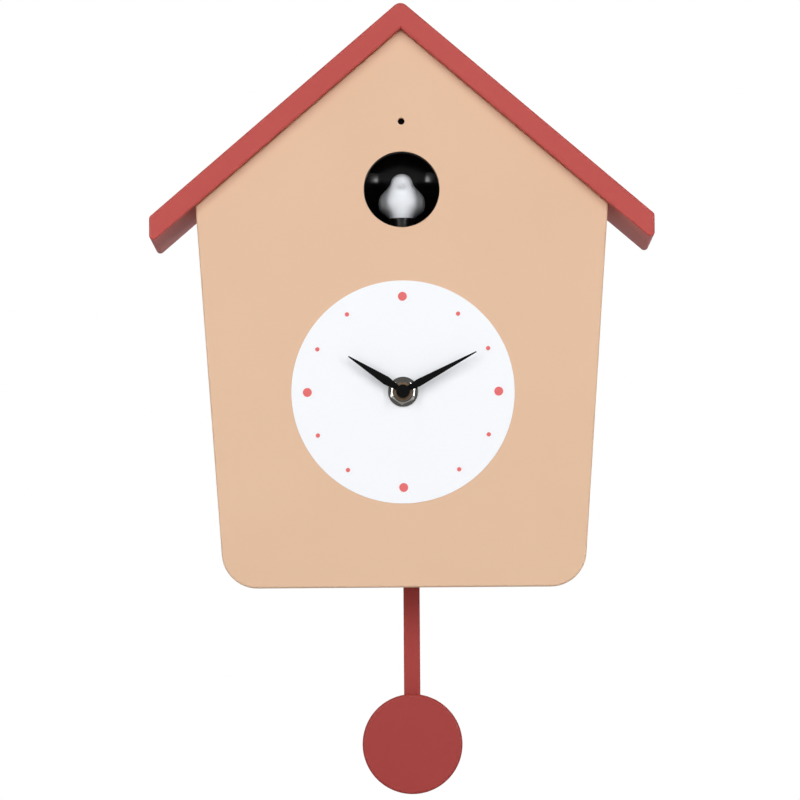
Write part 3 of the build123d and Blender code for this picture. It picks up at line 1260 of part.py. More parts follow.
door_h = door_high_z - door_low_z
with BuildPart() as battery_door:
    with BuildSketch(Plane.XY.offset(door_low_z)):
        with Locations((door_pin_x, -DOOR_T / 2)):
            Circle(DOOR_T / 2)
            door_reach = bay_w / 2 - DOOR_GAP - door_pin_x
            Rectangle(door_reach, DOOR_T, align=(Align.MIN, Align.CENTER))
    extrude(amount=door_h)
    with Locations((door_pin_x, -DOOR_T / 2, bay_z)):
        Cylinder(DOOR_PIN_R, bay_h + 2 * (DOOR_PIN_L - DOOR_GAP))
battery_door.part.label = "battery_door"
export_step(battery_door.part, "parts/battery_door.step")
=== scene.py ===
from math import cos, pi, radians, sin

import bmesh
import bpy
from mathutils import Matrix, Vector


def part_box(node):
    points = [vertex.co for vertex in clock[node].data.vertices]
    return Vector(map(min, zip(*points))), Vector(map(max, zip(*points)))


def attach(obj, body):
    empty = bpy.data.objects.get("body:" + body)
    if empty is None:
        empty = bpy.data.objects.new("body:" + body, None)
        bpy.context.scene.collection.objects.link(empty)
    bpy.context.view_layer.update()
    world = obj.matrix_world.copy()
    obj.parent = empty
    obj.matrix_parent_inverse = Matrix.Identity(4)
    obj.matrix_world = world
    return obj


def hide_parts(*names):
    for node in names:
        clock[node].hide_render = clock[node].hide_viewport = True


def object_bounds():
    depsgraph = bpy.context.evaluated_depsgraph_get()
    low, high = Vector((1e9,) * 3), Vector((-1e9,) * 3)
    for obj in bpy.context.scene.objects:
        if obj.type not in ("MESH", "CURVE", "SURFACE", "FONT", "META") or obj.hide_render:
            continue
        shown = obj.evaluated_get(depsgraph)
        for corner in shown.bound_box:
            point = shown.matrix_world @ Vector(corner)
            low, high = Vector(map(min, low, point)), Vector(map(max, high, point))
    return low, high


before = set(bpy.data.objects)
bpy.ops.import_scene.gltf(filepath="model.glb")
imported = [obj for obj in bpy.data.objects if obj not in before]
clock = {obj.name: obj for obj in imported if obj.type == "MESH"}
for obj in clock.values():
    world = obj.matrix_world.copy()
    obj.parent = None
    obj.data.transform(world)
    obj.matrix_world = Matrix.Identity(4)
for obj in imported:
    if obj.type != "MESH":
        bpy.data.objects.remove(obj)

cad_box = [list(corner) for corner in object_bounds()]


# House front and case boards: 9 mm and 6 mm medium-density fibreboard, sawn to shape, edges eased, sprayed
# with a matte sand-coloured lacquer. The boards are glued behind the front, a little inside its outline.
def linear(colour):
    """An sRGB hex colour as the linear RGBA that a socket takes."""
    parts = [int(colour[i:i + 2], 16) / 255 for i in (1, 3, 5)]
    return [p / 12.92 if p <= 0.04045 else ((p + 0.055) / 1.055) ** 2.4 for p in parts] + [1.0]


def finish(name):
    """An empty node material, named for the real finish."""
    material = bpy.data.materials.new(name)
    material.use_nodes = True
    material.node_tree.nodes.clear()
    return material


def add(material, kind, settings, sockets):
    """Adds a node with its settings, and fills its sockets with values or links."""
    made = material.node_tree.nodes.new(kind)
    for name, value in settings.items():
        setattr(made, name, value)
    for name, value in sockets.items():
        if isinstance(value, bpy.types.NodeSocket):
            material.node_tree.links.new(value, made.inputs[name])
        else:
            made.inputs[name].default_value = value
    return made


def dress(material, *names):
    """Gives a finish to solids that keep their own shape."""
    for name in names:
        clock[name].data.materials.clear()
        clock[name].data.materials.append(material)


# Sprayed lacquer gives an even, nearly flat colour, a soft sheen and an orange-peel ripple about 1.4 mm wide.
# The wall of the bird's round hole, 16 mm in radius, is coloured near black as painted shade of the deep
# hole.
hole_above_feet = 0.0111
hole_shade_r = 0.01615
hole_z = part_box("bird")[0].z + hole_above_feet
sand_lacquer = finish("matte_sand_lacquer_on_fibreboard")
where = add(sand_lacquer, "ShaderNodeTexCoord", {}, {})
drift = add(sand_lacquer, "ShaderNodeTexNoise", {}, {
    "Vector": where.outputs["Object"], "Scale": 1 / 0.070, "Detail": 2.0})
peel = add(sand_lacquer, "ShaderNodeTexNoise", {}, {
    "Vector": where.outputs["Object"], "Scale": 1 / 0.0014, "Detail": 2.0})
tone = add(sand_lacquer, "ShaderNodeMix", {"data_type": "RGBA"}, {
    0: drift.outputs["Fac"], 6: linear("#DDB798"), 7: linear("#E3BEA0")})
sheen = add(sand_lacquer, "ShaderNodeMapRange", {}, {
    "Value": peel.outputs["Fac"], "To Min": 0.44, "To Max": 0.56})
ripple = add(sand_lacquer, "ShaderNodeBump", {}, {
    "Height": peel.outputs["Fac"], "Strength": 0.06, "Distance": 0.0003})
flat = add(sand_lacquer, "ShaderNodeVectorMath", {"operation": "MULTIPLY"}, {
    0: where.outputs["Object"], 1: (1, 0, 1)})
reach = add(sand_lacquer, "ShaderNodeVectorMath", {"operation": "DISTANCE"}, {
    0: flat.outputs["Vector"], 1: (0, 0, hole_z)})
# painted shade: near black on the hole's wall, out to 16.15 mm from its axis
painted_hole_shade = add(sand_lacquer, "ShaderNodeMath", {"operation": "LESS_THAN"}, {
    0: reach.outputs["Value"], 1: hole_shade_r})
lacquer_and_hole_shade = add(sand_lacquer, "ShaderNodeMix", {"data_type": "RGBA"}, {
    0: painted_hole_shade.outputs["Value"], 6: tone.outputs[2], 7: linear("#0B0A0A")})
surface = add(sand_lacquer, "ShaderNodeBsdfPrincipled", {}, {
    "Base Color": lacquer_and_hole_shade.outputs[2], "Roughness": sheen.outputs["Result"], "Normal": ripple.outputs["Normal"],
    "IOR": 1.5, "Specular IOR Level": 0.35})
add(sand_lacquer, "ShaderNodeOutputMaterial", {}, {"Surface": surface.outputs["BSDF"]})
dress(sand_lacquer, "front_panel", "side_right", "side_left", "bottom_board")

# Roof: two fibreboards mitred at the ridge and glued on the house, with the ridge and edges sanded round.
# They are sprayed with a matte brick-red lacquer, which has the front's soft sheen and a finer ripple.
red_lacquer = finish("matte_brick_red_lacquer_on_fibreboard")
where = add(red_lacquer, "ShaderNodeTexCoord", {}, {})
drift = add(red_lacquer, "ShaderNodeTexNoise", {}, {
    "Vector": where.outputs["Object"], "Scale": 1 / 0.045, "Detail": 2.0})
peel = add(red_lacquer, "ShaderNodeTexNoise", {}, {
    "Vector": where.outputs["Object"], "Scale": 1 / 0.0012, "Detail": 2.0})
tone = add(red_lacquer, "ShaderNodeMix", {"data_type": "RGBA"}, {
    0: drift.outputs["Fac"], 6: linear("#B5453F"), 7: linear("#BC4C47")})
sheen = add(red_lacquer, "ShaderNodeMapRange", {}, {
    "Value": peel.outputs["Fac"], "To Min": 0.42, "To Max": 0.54})
ripple = add(red_lacquer, "ShaderNodeBump", {}, {
    "Height": peel.outputs["Fac"], "Strength": 0.06, "Distance": 0.0003})
surface = add(red_lacquer, "ShaderNodeBsdfPrincipled", {}, {
    "Base Color": tone.outputs[2], "Roughness": sheen.outputs["Result"], "Normal": ripple.outputs["Normal"],
    "IOR": 1.5, "Specular IOR Level": 0.35})
add(red_lacquer, "ShaderNodeOutputMaterial", {}, {"Surface": surface.outputs["BSDF"]})
dress(red_lacquer, "roof_right", "roof_left")

# Light sensor: a small photocell cast in epoxy, pushed into the panel's drilled hole from behind. Deep in its
# hole the dark, faintly cloudy epoxy hardly shines.
sensor_epoxy = finish("dark_cast_epoxy")
where = add(sensor_epoxy, "ShaderNodeTexCoord", {}, {})
cloud = add(sensor_epoxy, "ShaderNodeTexNoise", {}, {
    "Vector": where.outputs["Object"], "Scale": 1 / 0.0008, "Detail": 2.0})
tone = add(sensor_epoxy, "ShaderNodeMix", {"data_type": "RGBA"}, {
    0: cloud.outputs["Fac"], 6: linear("#060505"), 7: linear("#0C0A0A")})
surface = add(sensor_epoxy, "ShaderNodeBsdfPrincipled", {}, {
    "Base Color": tone.outputs[2], "Roughness": 0.5, "IOR": 1.55, "Specular IOR Level": 0.12})
add(sensor_epoxy, "ShaderNodeOutputMaterial", {}, {"Surface": surface.outputs["BSDF"]})
dress(sensor_epoxy, "light_sensor")

# Niche: a hood and a curved screen injection-moulded in black styrene from a polished tool, fixed behind the
# round hole. The polish gives clear, dark reflections with a slight moulding waviness of about 9 mm.
gloss_styrene = finish("polished_black_styrene")
where = add(gloss_styrene, "ShaderNodeTexCoord", {}, {})
wave = add(gloss_styrene, "ShaderNodeTexNoise", {}, {
    "Vector": where.outputs["Object"], "Scale": 1 / 0.009, "Detail": 1.0})
tone = add(gloss_styrene, "ShaderNodeMix", {"data_type": "RGBA"}, {
    0: wave.outputs["Fac"], 6: linear("#100F0F"), 7: linear("#161414")})
ripple = add(gloss_styrene, "ShaderNodeBump", {}, {
    "Height": wave.outputs["Fac"], "Strength": 0.08, "Distance": 0.0006})
surface = add(gloss_styrene, "ShaderNodeBsdfPrincipled", {}, {
    "Base Color": tone.outputs[2], "Roughness": 0.12, "Normal": ripple.outputs["Normal"], "IOR": 1.59})
add(gloss_styrene, "ShaderNodeOutputMaterial", {}, {"Surface": surface.outputs["BSDF"]})
dress(gloss_styrene, "niche_hood", "niche_screen")

# Niche floor with the carriage's rails, moulded in black ABS and screwed to the back of the panel. Its tool
# was spark-eroded, which gives a matte skin of fine pits, 0.7 mm here so that they show.
black_abs = finish("spark_eroded_black_abs")
where = add(black_abs, "ShaderNodeTexCoord", {}, {})
spark = add(black_abs, "ShaderNodeTexNoise", {}, {
    "Vector": where.outputs["Object"], "Scale": 1 / 0.0007, "Detail": 3.0})
flow = add(black_abs, "ShaderNodeTexNoise", {}, {
    "Vector": where.outputs["Object"], "Scale": 1 / 0.040, "Detail": 2.0})
tone = add(black_abs, "ShaderNodeMix", {"data_type": "RGBA"}, {
    0: flow.outputs["Fac"], 6: linear("#1C1C1D"), 7: linear("#252526")})
pits = add(black_abs, "ShaderNodeBump", {}, {
    "Height": spark.outputs["Fac"], "Strength": 0.35, "Distance": 0.0002})
surface = add(black_abs, "ShaderNodeBsdfPrincipled", {}, {
    "Base Color": tone.outputs[2], "Roughness": 0.55, "Normal": pits.outputs["Normal"], "IOR": 1.53,
    "Specular IOR Level": 0.4})
add(black_abs, "ShaderNodeOutputMaterial", {}, {"Surface": surface.outputs["BSDF"]})
dress(black_abs, "bird_base")

# Bird motor: a small can motor in a drawn steel case, zinc plated, glued in the base's saddle. Zinc is a
# grey metal with a faint mottled grain of about 1 mm. The pinion pressed on its shaft is natural acetal,
# milky white with a waxy sheen.
zinc_steel = finish("zinc_plated_drawn_steel")
where = add(zinc_steel, "ShaderNodeTexCoord", {}, {})
spangle = add(zinc_steel, "ShaderNodeTexVoronoi", {}, {
    "Vector": where.outputs["Object"], "Scale": 1 / 0.0010})
tone = add(zinc_steel, "ShaderNodeMix", {"data_type": "RGBA"}, {
    0: spangle.outputs["Distance"], 6: linear("#9FA2A5"), 7: linear("#A9ACAF")})
sheen = add(zinc_steel, "ShaderNodeMapRange", {}, {
    "Value": spangle.outputs["Distance"], "To Min": 0.36, "To Max": 0.42})
surface = add(zinc_steel, "ShaderNodeBsdfPrincipled", {}, {
    "Base Color": tone.outputs[2], "Metallic": 1.0, "Roughness": sheen.outputs["Result"]})
add(zinc_steel, "ShaderNodeOutputMaterial", {}, {"Surface": surface.outputs["BSDF"]})
dress(zinc_steel, "bird_motor", "base_screws")

acetal = finish("natural_acetal")
where = add(acetal, "ShaderNodeTexCoord", {}, {})
cloud = add(acetal, "ShaderNodeTexNoise", {}, {
    "Vector": where.outputs["Object"], "Scale": 1 / 0.004, "Detail": 2.0})
tone = add(acetal, "ShaderNodeMix", {"data_type": "RGBA"}, {
    0: cloud.outputs["Fac"], 6: linear("#DAD8D0"), 7: linear("#E9E7E0")})
surface = add(acetal, "ShaderNodeBsdfPrincipled", {}, {
    "Base Color": tone.outputs[2], "Roughness": 0.38, "IOR": 1.48})
add(acetal, "ShaderNodeOutputMaterial", {}, {"Surface": surface.outputs["BSDF"]})
dress(acetal, "bird_pinion")

# Carriage: the bird's round perch on an arm with a rack, moulded in black acetal, which slides on the rails.
# Acetal has a waxy, faintly cloudy skin that shows soft highlights.
black_acetal = finish("black_acetal")
where = add(black_acetal, "ShaderNodeTexCoord", {}, {})
cloud = add(black_acetal, "ShaderNodeTexNoise", {}, {
    "Vector": where.outputs["Object"], "Scale": 1 / 0.004, "Detail": 2.0})
tone = add(black_acetal, "ShaderNodeMix", {"data_type": "RGBA"}, {
    0: cloud.outputs["Fac"], 6: linear("#0E0E0E"), 7: linear("#151414")})
sheen = add(black_acetal, "ShaderNodeMapRange", {}, {
    "Value": cloud.outputs["Fac"], "To Min": 0.28, "To Max": 0.34})
surface = add(black_acetal, "ShaderNodeBsdfPrincipled", {}, {
    "Base Color": tone.outputs[2], "Roughness": sheen.outputs["Result"], "IOR": 1.48})
add(black_acetal, "ShaderNodeOutputMaterial", {}, {"Surface": surface.outputs["BSDF"]})
dress(black_acetal, "bird_carriage")

# Bird: a hollow ABS moulding with a smooth satin skin, glued to the perch by its feet. Breast, head, wings
# and tail run into each other without edges, so it is joined from rounded forms and smoothed.
satin_white = finish("satin_white_abs")
where = add(satin_white, "ShaderNodeTexCoord", {}, {})
grain = add(satin_white, "ShaderNodeTexNoise", {}, {
    "Vector": where.outputs["Object"], "Scale": 1 / 0.0006, "Detail": 2.0})
tone = add(satin_white, "ShaderNodeMix", {"data_type": "RGBA"}, {
    0: grain.outputs["Fac"], 6: linear("#EFF2F7"), 7: linear("#F5F7FB")})
sheen = add(satin_white, "ShaderNodeMapRange", {}, {
    "Value": grain.outputs["Fac"], "To Min": 0.40, "To Max": 0.50})
surface = add(satin_white, "ShaderNodeBsdfPrincipled", {}, {
    "Base Color": tone.outputs[2], "Roughness": sheen.outputs["Result"], "IOR": 1.53,
    "Specular IOR Level": 0.35})
add(satin_white, "ShaderNodeOutputMaterial", {}, {"Surface": surface.outputs["BSDF"]})


def piece(name, mesh, material, body, *stands_for):
    """Puts a built mesh into the scene with its finish, on the body that carries it."""
    data = bpy.data.meshes.new(name)
    bmesh.ops.recalc_face_normals(mesh, faces=mesh.faces)
    mesh.to_mesh(data)
    mesh.free()
    made = bpy.data.objects.new(name, data)
    bpy.context.scene.collection.objects.link(made)
    data.materials.append(material)
    data.polygons.foreach_set("use_smooth", [True] * len(data.polygons))
    data.set_sharp_from_angle(angle=radians(18))
    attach(made, body)
    if stands_for:
        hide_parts(*stands_for)
    return made


perch_depth = 0.060
feet = Vector((0, -perch_depth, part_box("bird")[0].z))
# Each form's middle from the feet and its half sizes, in mm
breast = (0, -0.2, 5.0), (6.1, 7.2, 9.5)
throat = (0, -0.4, 11.0), (6.8, 6.6, 4.9)
head = (0, -2.3, 14.6), (4.85, 4.9, 4.6)
body = (0, 3.0, 6.9), (9.6, 11.0, 8.1)
left_wing = (-7.9, 4.6, 6.6), (2.2, 7.6, 4.4)
right_wing = (7.9, 4.6, 6.6), (2.2, 7.6, 4.4)
tail = (0, 9.5, 5.4), (3.6, 6.4, 2.4)
beak = (0, -6.3, 13.5), (2.1, 1.6, 1.8)
beak_tip = (0, -7.1, 13.3), (1.3, 2.1, 1.1)
lumps = bmesh.new()
for middle, halves in (breast, throat, head, body, left_wing, right_wing, tail, beak, beak_tip):
    shape = Matrix.Translation(feet + Vector(middle) / 1000) @ Matrix.Diagonal((*Vector(halves) / 1000, 1.0))
    bmesh.ops.create_icosphere(lumps, subdivisions=4, radius=1.0, matrix=shape)
rough_bird = piece("rough_bird", lumps, satin_white, "cuckoo")
skin = rough_bird.modifiers.new("one_skin", "REMESH")
skin.mode = "VOXEL"
skin.voxel_size = 0.00035
soften = rough_bird.modifiers.new("soften", "SMOOTH")
soften.factor = 0.5
soften.iterations = 50
bpy.context.view_layer.update()
smooth_bird = bmesh.new()
smooth_bird.from_mesh(rough_bird.evaluated_get(bpy.context.evaluated_depsgraph_get()).to_mesh())
bpy.data.objects.remove(rough_bird)
foot_cut = bmesh.ops.bisect_plane(
    smooth_bird, geom=smooth_bird.verts[:] + smooth_bird.edges[:] + smooth_bird.faces[:],
    plane_co=feet, plane_no=(0, 0, -1), clear_outer=True)
foot_rim = [e for e in foot_cut["geom_cut"] if isinstance(e, bmesh.types.BMEdge)]
bmesh.ops.contextual_create(smooth_bird, geom=foot_rim)
piece("moulded_bird", smooth_bird, satin_white, "cuckoo", "bird")

# Movement: a two-part ABS housing, screwed shut, round a brass centre wheel and acetal wheels, with the iron
# core and enamelled winding of the stepping motor. It is hidden behind the dial. Turned brass is warm and
# bright, with cloudy tarnish about 2 mm wide.
turned_brass = finish("turned_brass")
where = add(turned_brass, "ShaderNodeTexCoord", {}, {})
tarnish = add(turned_brass, "ShaderNodeTexNoise", {}, {
    "Vector": where.outputs["Object"], "Scale": 1 / 0.002, "Detail": 3.0})
tone = add(turned_brass, "ShaderNodeMix", {"data_type": "RGBA"}, {
    0: tarnish.outputs["Fac"], 6: linear("#7A6450"), 7: linear("#9A8268")})
surface = add(turned_brass, "ShaderNodeBsdfPrincipled", {}, {
    "Base Color": tone.outputs[2], "Metallic": 1.0, "Roughness": 0.32})
add(turned_brass, "ShaderNodeOutputMaterial", {}, {"Surface": surface.outputs["BSDF"]})
dress(turned_brass, "centre_wheel")
dress(black_abs, "movement_case")
dress(acetal, "movement_cover", "hour_wheel", "motion_wheel", "third_wheel")
dress(zinc_steel, "step_core", "movement_screws")

# Winding wire is 0.1 mm thick; its turns are drawn 0.5 mm apart so that they show, with painted shade in the
# grooves between them and painted highlight on their crests
copper_winding = finish("enamelled_copper_winding")
where = add(copper_winding, "ShaderNodeTexCoord", {}, {})
turn_bands_and_shade = add(copper_winding, "ShaderNodeTexWave", {"bands_direction": "X"}, {
    "Vector": where.outputs["Object"], "Scale": pi / (10 * 0.0005), "Distortion": 0.6, "Detail": 1.0})
# painted shade in the grooves and painted highlight on the crests of the turns
tone = add(copper_winding, "ShaderNodeMix", {"data_type": "RGBA"}, {
    0: turn_bands_and_shade.outputs["Fac"], 6: linear("#6E3312"), 7: linear("#B4622C")})
ridge = add(copper_winding, "ShaderNodeBump", {}, {
    "Height": turn_bands_and_shade.outputs["Fac"], "Strength": 0.6, "Distance": 0.0002})
surface = add(copper_winding, "ShaderNodeBsdfPrincipled", {}, {
    "Base Color": tone.outputs[2], "Metallic": 0.6, "Roughness": 0.3, "Normal": ridge.outputs["Normal"]})
add(copper_winding, "ShaderNodeOutputMaterial", {}, {"Surface": surface.outputs["BSDF"]})
dress(copper_winding, "step_coil")

# Dial: a disc of smooth white card glued to the panel under the clamping washer. Card is uncoated, so it
# is matte with a very fine fibre; 0.5 mm is coarser than real fibre so that it shows.
dial_card = finish("smooth_white_card")
where = add(dial_card, "ShaderNodeTexCoord", {}, {})
fibre = add(dial_card, "ShaderNodeTexNoise", {}, {
    "Vector": where.outputs["Object"], "Scale": 1 / 0.0005, "Detail": 4.0})
tone = add(dial_card, "ShaderNodeMix", {"data_type": "RGBA"}, {
    0: fibre.outputs["Fac"], 6: linear("#F0F2F6"), 7: linear("#F7F9FC")})
weave = add(dial_card, "ShaderNodeBump", {}, {
    "Height": fibre.outputs["Fac"], "Strength": 0.05, "Distance": 0.0001})
surface = add(dial_card, "ShaderNodeBsdfPrincipled", {}, {
    "Base Color": tone.outputs[2], "Roughness": 0.6, "Normal": weave.outputs["Normal"],
    "IOR": 1.45, "Specular IOR Level": 0.25})
add(dial_card, "ShaderNodeOutputMaterial", {}, {"Surface": surface.outputs["BSDF"]})
dress(dial_card, "dial_disc")

# Dots: a thick coral-red ink, screen-printed on the card, four large and eight small. Such ink dries with
# a slightly mottled, half-matte skin.
dot_ink = finish("screen_printed_coral_ink")
where = add(dot_ink, "ShaderNodeTexCoord", {}, {})
mottle = add(dot_ink, "ShaderNodeTexNoise", {}, {
    "Vector": where.outputs["Object"], "Scale": 1 / 0.0006, "Detail": 3.0})
tone = add(dot_ink, "ShaderNodeMix", {"data_type": "RGBA"}, {
    0: mottle.outputs["Fac"], 6: linear("#DE6464"), 7: linear("#EA7474")})
surface = add(dot_ink, "ShaderNodeBsdfPrincipled", {}, {
    "Base Color": tone.outputs[2], "Roughness": 0.5, "IOR": 1.48, "Specular IOR Level": 0.3})
add(dot_ink, "ShaderNodeOutputMaterial", {}, {"Surface": surface.outputs["BSDF"]})
dress(dot_ink, "dial_dots")


# Clamping washer and nut: pressed and turned steel, nickel plated, that hold the movement to the panel. The
# nut's corners are chamfered where it was turned, so its top is a circle inside the hexagon. The plating
# mirrors the studio in a warm grey.
def turned(mesh, profile, middle, forward, steps=64):
    """Spins a closed profile of (radius, along) points about an axis through middle that points forward."""
    turn = Vector((0, 0, 1)).rotation_difference(Vector(forward)).to_matrix()
    bearings = [2 * pi * i / steps for i in range(steps)]
    rings = []
    for radius, along in profile:
        ring = [Vector((radius * cos(bearing), radius * sin(bearing), along)) for bearing in bearings]
        rings.append([mesh.verts.new(Vector(middle) + turn @ point) for point in ring])
    for near, far in zip(rings, rings[1:] + rings[:1]):
        for i in range(steps):
            mesh.faces.new((near[i], near[(i + 1) % steps], far[(i + 1) % steps], far[i]))


nickel_plate = finish("bright_nickel_plated_steel")
where = add(nickel_plate, "ShaderNodeTexCoord", {}, {})
lay = add(nickel_plate, "ShaderNodeTexNoise", {}, {
    "Vector": where.outputs["Object"], "Scale": 1 / 0.0006, "Detail": 3.0})
sheen = add(nickel_plate, "ShaderNodeMapRange", {}, {
    "Value": lay.outputs["Fac"], "To Min": 0.10, "To Max": 0.14})
tone = add(nickel_plate, "ShaderNodeMix", {"data_type": "RGBA"}, {
    0: lay.outputs["Fac"], 6: linear("#A4A19C"), 7: linear("#ADAAA5")})
surface = add(nickel_plate, "ShaderNodeBsdfPrincipled", {}, {
    "Base Color": tone.outputs[2], "Metallic": 1.0, "Roughness": sheen.outputs["Result"]})
add(nickel_plate, "ShaderNodeOutputMaterial", {}, {"Surface": surface.outputs["BSDF"]})
dress(nickel_plate, "clamp_washer")
nut_low, nut_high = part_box("clamp_nut")
hub = Vector((0, nut_high.y, (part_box("clamp_washer")[0].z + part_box("clamp_washer")[1].z) / 2))
nut_tall = nut_high.y - nut_low.y
nut_flat_r, nut_bore_r, nut_face_r = 0.0050, 0.0040, 0.0045
nut_chamfer = 0.36
nut_turn = radians(6)
nut_steps = 72
nut = bmesh.new()
rings = [[], [], [], [], []]
for i in range(nut_steps):
    bearing = 2 * pi * i / nut_steps
    side_r = nut_flat_r / cos((bearing + pi / 6) % (pi / 3) - pi / 6)
    shoulder = nut_tall - (side_r - nut_face_r) * nut_chamfer
    outside = (side_r, 0), (side_r, shoulder), (nut_face_r, nut_tall)
    profile = *outside, (nut_bore_r, nut_tall), (nut_bore_r, 0)
    for ring, (radius, along) in zip(rings, profile):
        spot = Vector((radius * cos(bearing - nut_turn), -along, radius * sin(bearing - nut_turn)))
        ring.append(nut.verts.new(hub + spot))
for near, far in zip(rings, rings[1:] + rings[:1]):
    for i in range(nut_steps):
        nut.faces.new((near[i], near[(i + 1) % nut_steps], far[(i + 1) % nut_steps], far[i]))
piece("chamfered_nut", nut, nickel_plate, "case", "clamp_nut")

# Bush: turned brass with a fine thread of 0.75 mm, pushed through the movement's wall and the panel. Only
# its end shows, as a warm ring inside the nut.
bush_low, bush_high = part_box("threaded_bush")
bush_length = bush_high.y - bush_low.y
bush_bore_r, bush_root_r, bush_crest_r, bush_end_r = 0.00215, 0.0036, 0.0040, 0.0039
flange_r, flange_t = 0.006, 0.001
thread_pitch, thread_start, thread_spare, end_bevel = 0.00075, 0.0012, 0.0016, 0.0003
bush = bmesh.new()
thread = [(bush_bore_r, 0), (flange_r, 0), (flange_r, flange_t), (bush_root_r, flange_t)]
for i in range(int((bush_length - thread_spare) / thread_pitch)):
    thread += [(bush_root_r, thread_start + i * thread_pitch)]
    thread += [(bush_crest_r, thread_start + (i + 0.5) * thread_pitch)]
thread += [(bush_end_r, bush_length - end_bevel), (bush_root_r, bush_length), (bush_bore_r, bush_length)]
turned(bush, thread, (0, bush_high.y, hub.z), (0, -1, 0))
piece("threaded_brass_bush", bush, turned_brass, "case", "threaded_bush")

# Hands and cap: the hands are blanked from 0.5 mm aluminium and enamelled black, and the pressed cap holds
# the minute hand on its pipe. Enamel gives a deep black with a soft sheen.
hand_enamel = finish("black_stoved_enamel")
where = add(hand_enamel, "ShaderNodeTexCoord", {}, {})
dust = add(hand_enamel, "ShaderNodeTexNoise", {}, {
    "Vector": where.outputs["Object"], "Scale": 1 / 0.0005, "Detail": 2.0})
tone = add(hand_enamel, "ShaderNodeMix", {"data_type": "RGBA"}, {
    0: dust.outputs["Fac"], 6: linear("#070707"), 7: linear("#0C0B0B")})
sheen = add(hand_enamel, "ShaderNodeMapRange", {}, {
    "Value": dust.outputs["Fac"], "To Min": 0.42, "To Max": 0.55})
surface = add(hand_enamel, "ShaderNodeBsdfPrincipled", {}, {
    "Base Color": tone.outputs[2], "Roughness": sheen.outputs["Result"], "IOR": 1.5,
    "Specular IOR Level": 0.06})
add(hand_enamel, "ShaderNodeOutputMaterial", {}, {"Surface": surface.outputs["BSDF"]})
dress(hand_enamel, "hour_hand", "minute_hand", "hub_cap")

# Pendulum drive: an acetal plate screwed on the movement's cover, with a steel pin for the pendulum, a clip
# that keeps it on, and a flat winding that pulls on the pendulum's magnet.
dress(acetal, "drive_plate")
dress(copper_winding, "drive_coil")
dress(nickel_plate, "pivot_pin", "pivot_clip")

# Pendulum: a plated steel hanger with a magnet, a lacquered flat bar hooked on it, and a turned fibreboard
# bob fixed to the bar by two screws from behind. Their red lacquer has the roof's ripple, and is darker than
# the roof's as painted shade, for the shade under the house and the light falling off towards the bottom.
dress(nickel_plate, "pendulum_hanger", "pendulum_magnet")
shaded_red_lacquer = finish("matte_red_lacquer_with_painted_shade")
where = add(shaded_red_lacquer, "ShaderNodeTexCoord", {}, {})
drift = add(shaded_red_lacquer, "ShaderNodeTexNoise", {}, {
    "Vector": where.outputs["Object"], "Scale": 1 / 0.045, "Detail": 2.0})
peel = add(shaded_red_lacquer, "ShaderNodeTexNoise", {}, {
    "Vector": where.outputs["Object"], "Scale": 1 / 0.0012, "Detail": 2.0})
# painted shade: a darker copy of the roof's red, for the pendulum's shade under the house
tone = add(shaded_red_lacquer, "ShaderNodeMix", {"data_type": "RGBA"}, {
    0: drift.outputs["Fac"], 6: linear("#9E3632"), 7: linear("#A43C38")})
sheen = add(shaded_red_lacquer, "ShaderNodeMapRange", {}, {
    "Value": peel.outputs["Fac"], "To Min": 0.42, "To Max": 0.54})
ripple = add(shaded_red_lacquer, "ShaderNodeBump", {}, {
    "Height": peel.outputs["Fac"], "Strength": 0.06, "Distance": 0.0003})
surface = add(shaded_red_lacquer, "ShaderNodeBsdfPrincipled", {}, {
    "Base Color": tone.outputs[2], "Roughness": sheen.outputs["Result"], "Normal": ripple.outputs["Normal"],
    "IOR": 1.5, "Specular IOR Level": 0.3})
add(shaded_red_lacquer, "ShaderNodeOutputMaterial", {}, {"Surface": surface.outputs["BSDF"]})
dress(shaded_red_lacquer, "pendulum_bar", "pendulum_bob")


def islands(name):
    """Lowest and highest corner of each separate solid in a node, from the lowest solid up."""
    mesh = bmesh.new()
    mesh.from_mesh(clock[name].data)
    bmesh.ops.remove_doubles(mesh, verts=mesh.verts, dist=1e-6)
    loose = set(mesh.verts)
    corners = []
    while loose:
        front = [loose.pop()]
        found = []
        while front:
            spot = front.pop()
            found.append(spot.co.copy())
            for edge in spot.link_edges:
                other = edge.other_vert(spot)
                if other in loose:
                    loose.remove(other)
                    front.append(other)
        corners.append((Vector(map(min, *found)), Vector(map(max, *found))))
    mesh.free()
    return sorted(corners, key=lambda box: (round(box[0].z, 5), box[0].x))


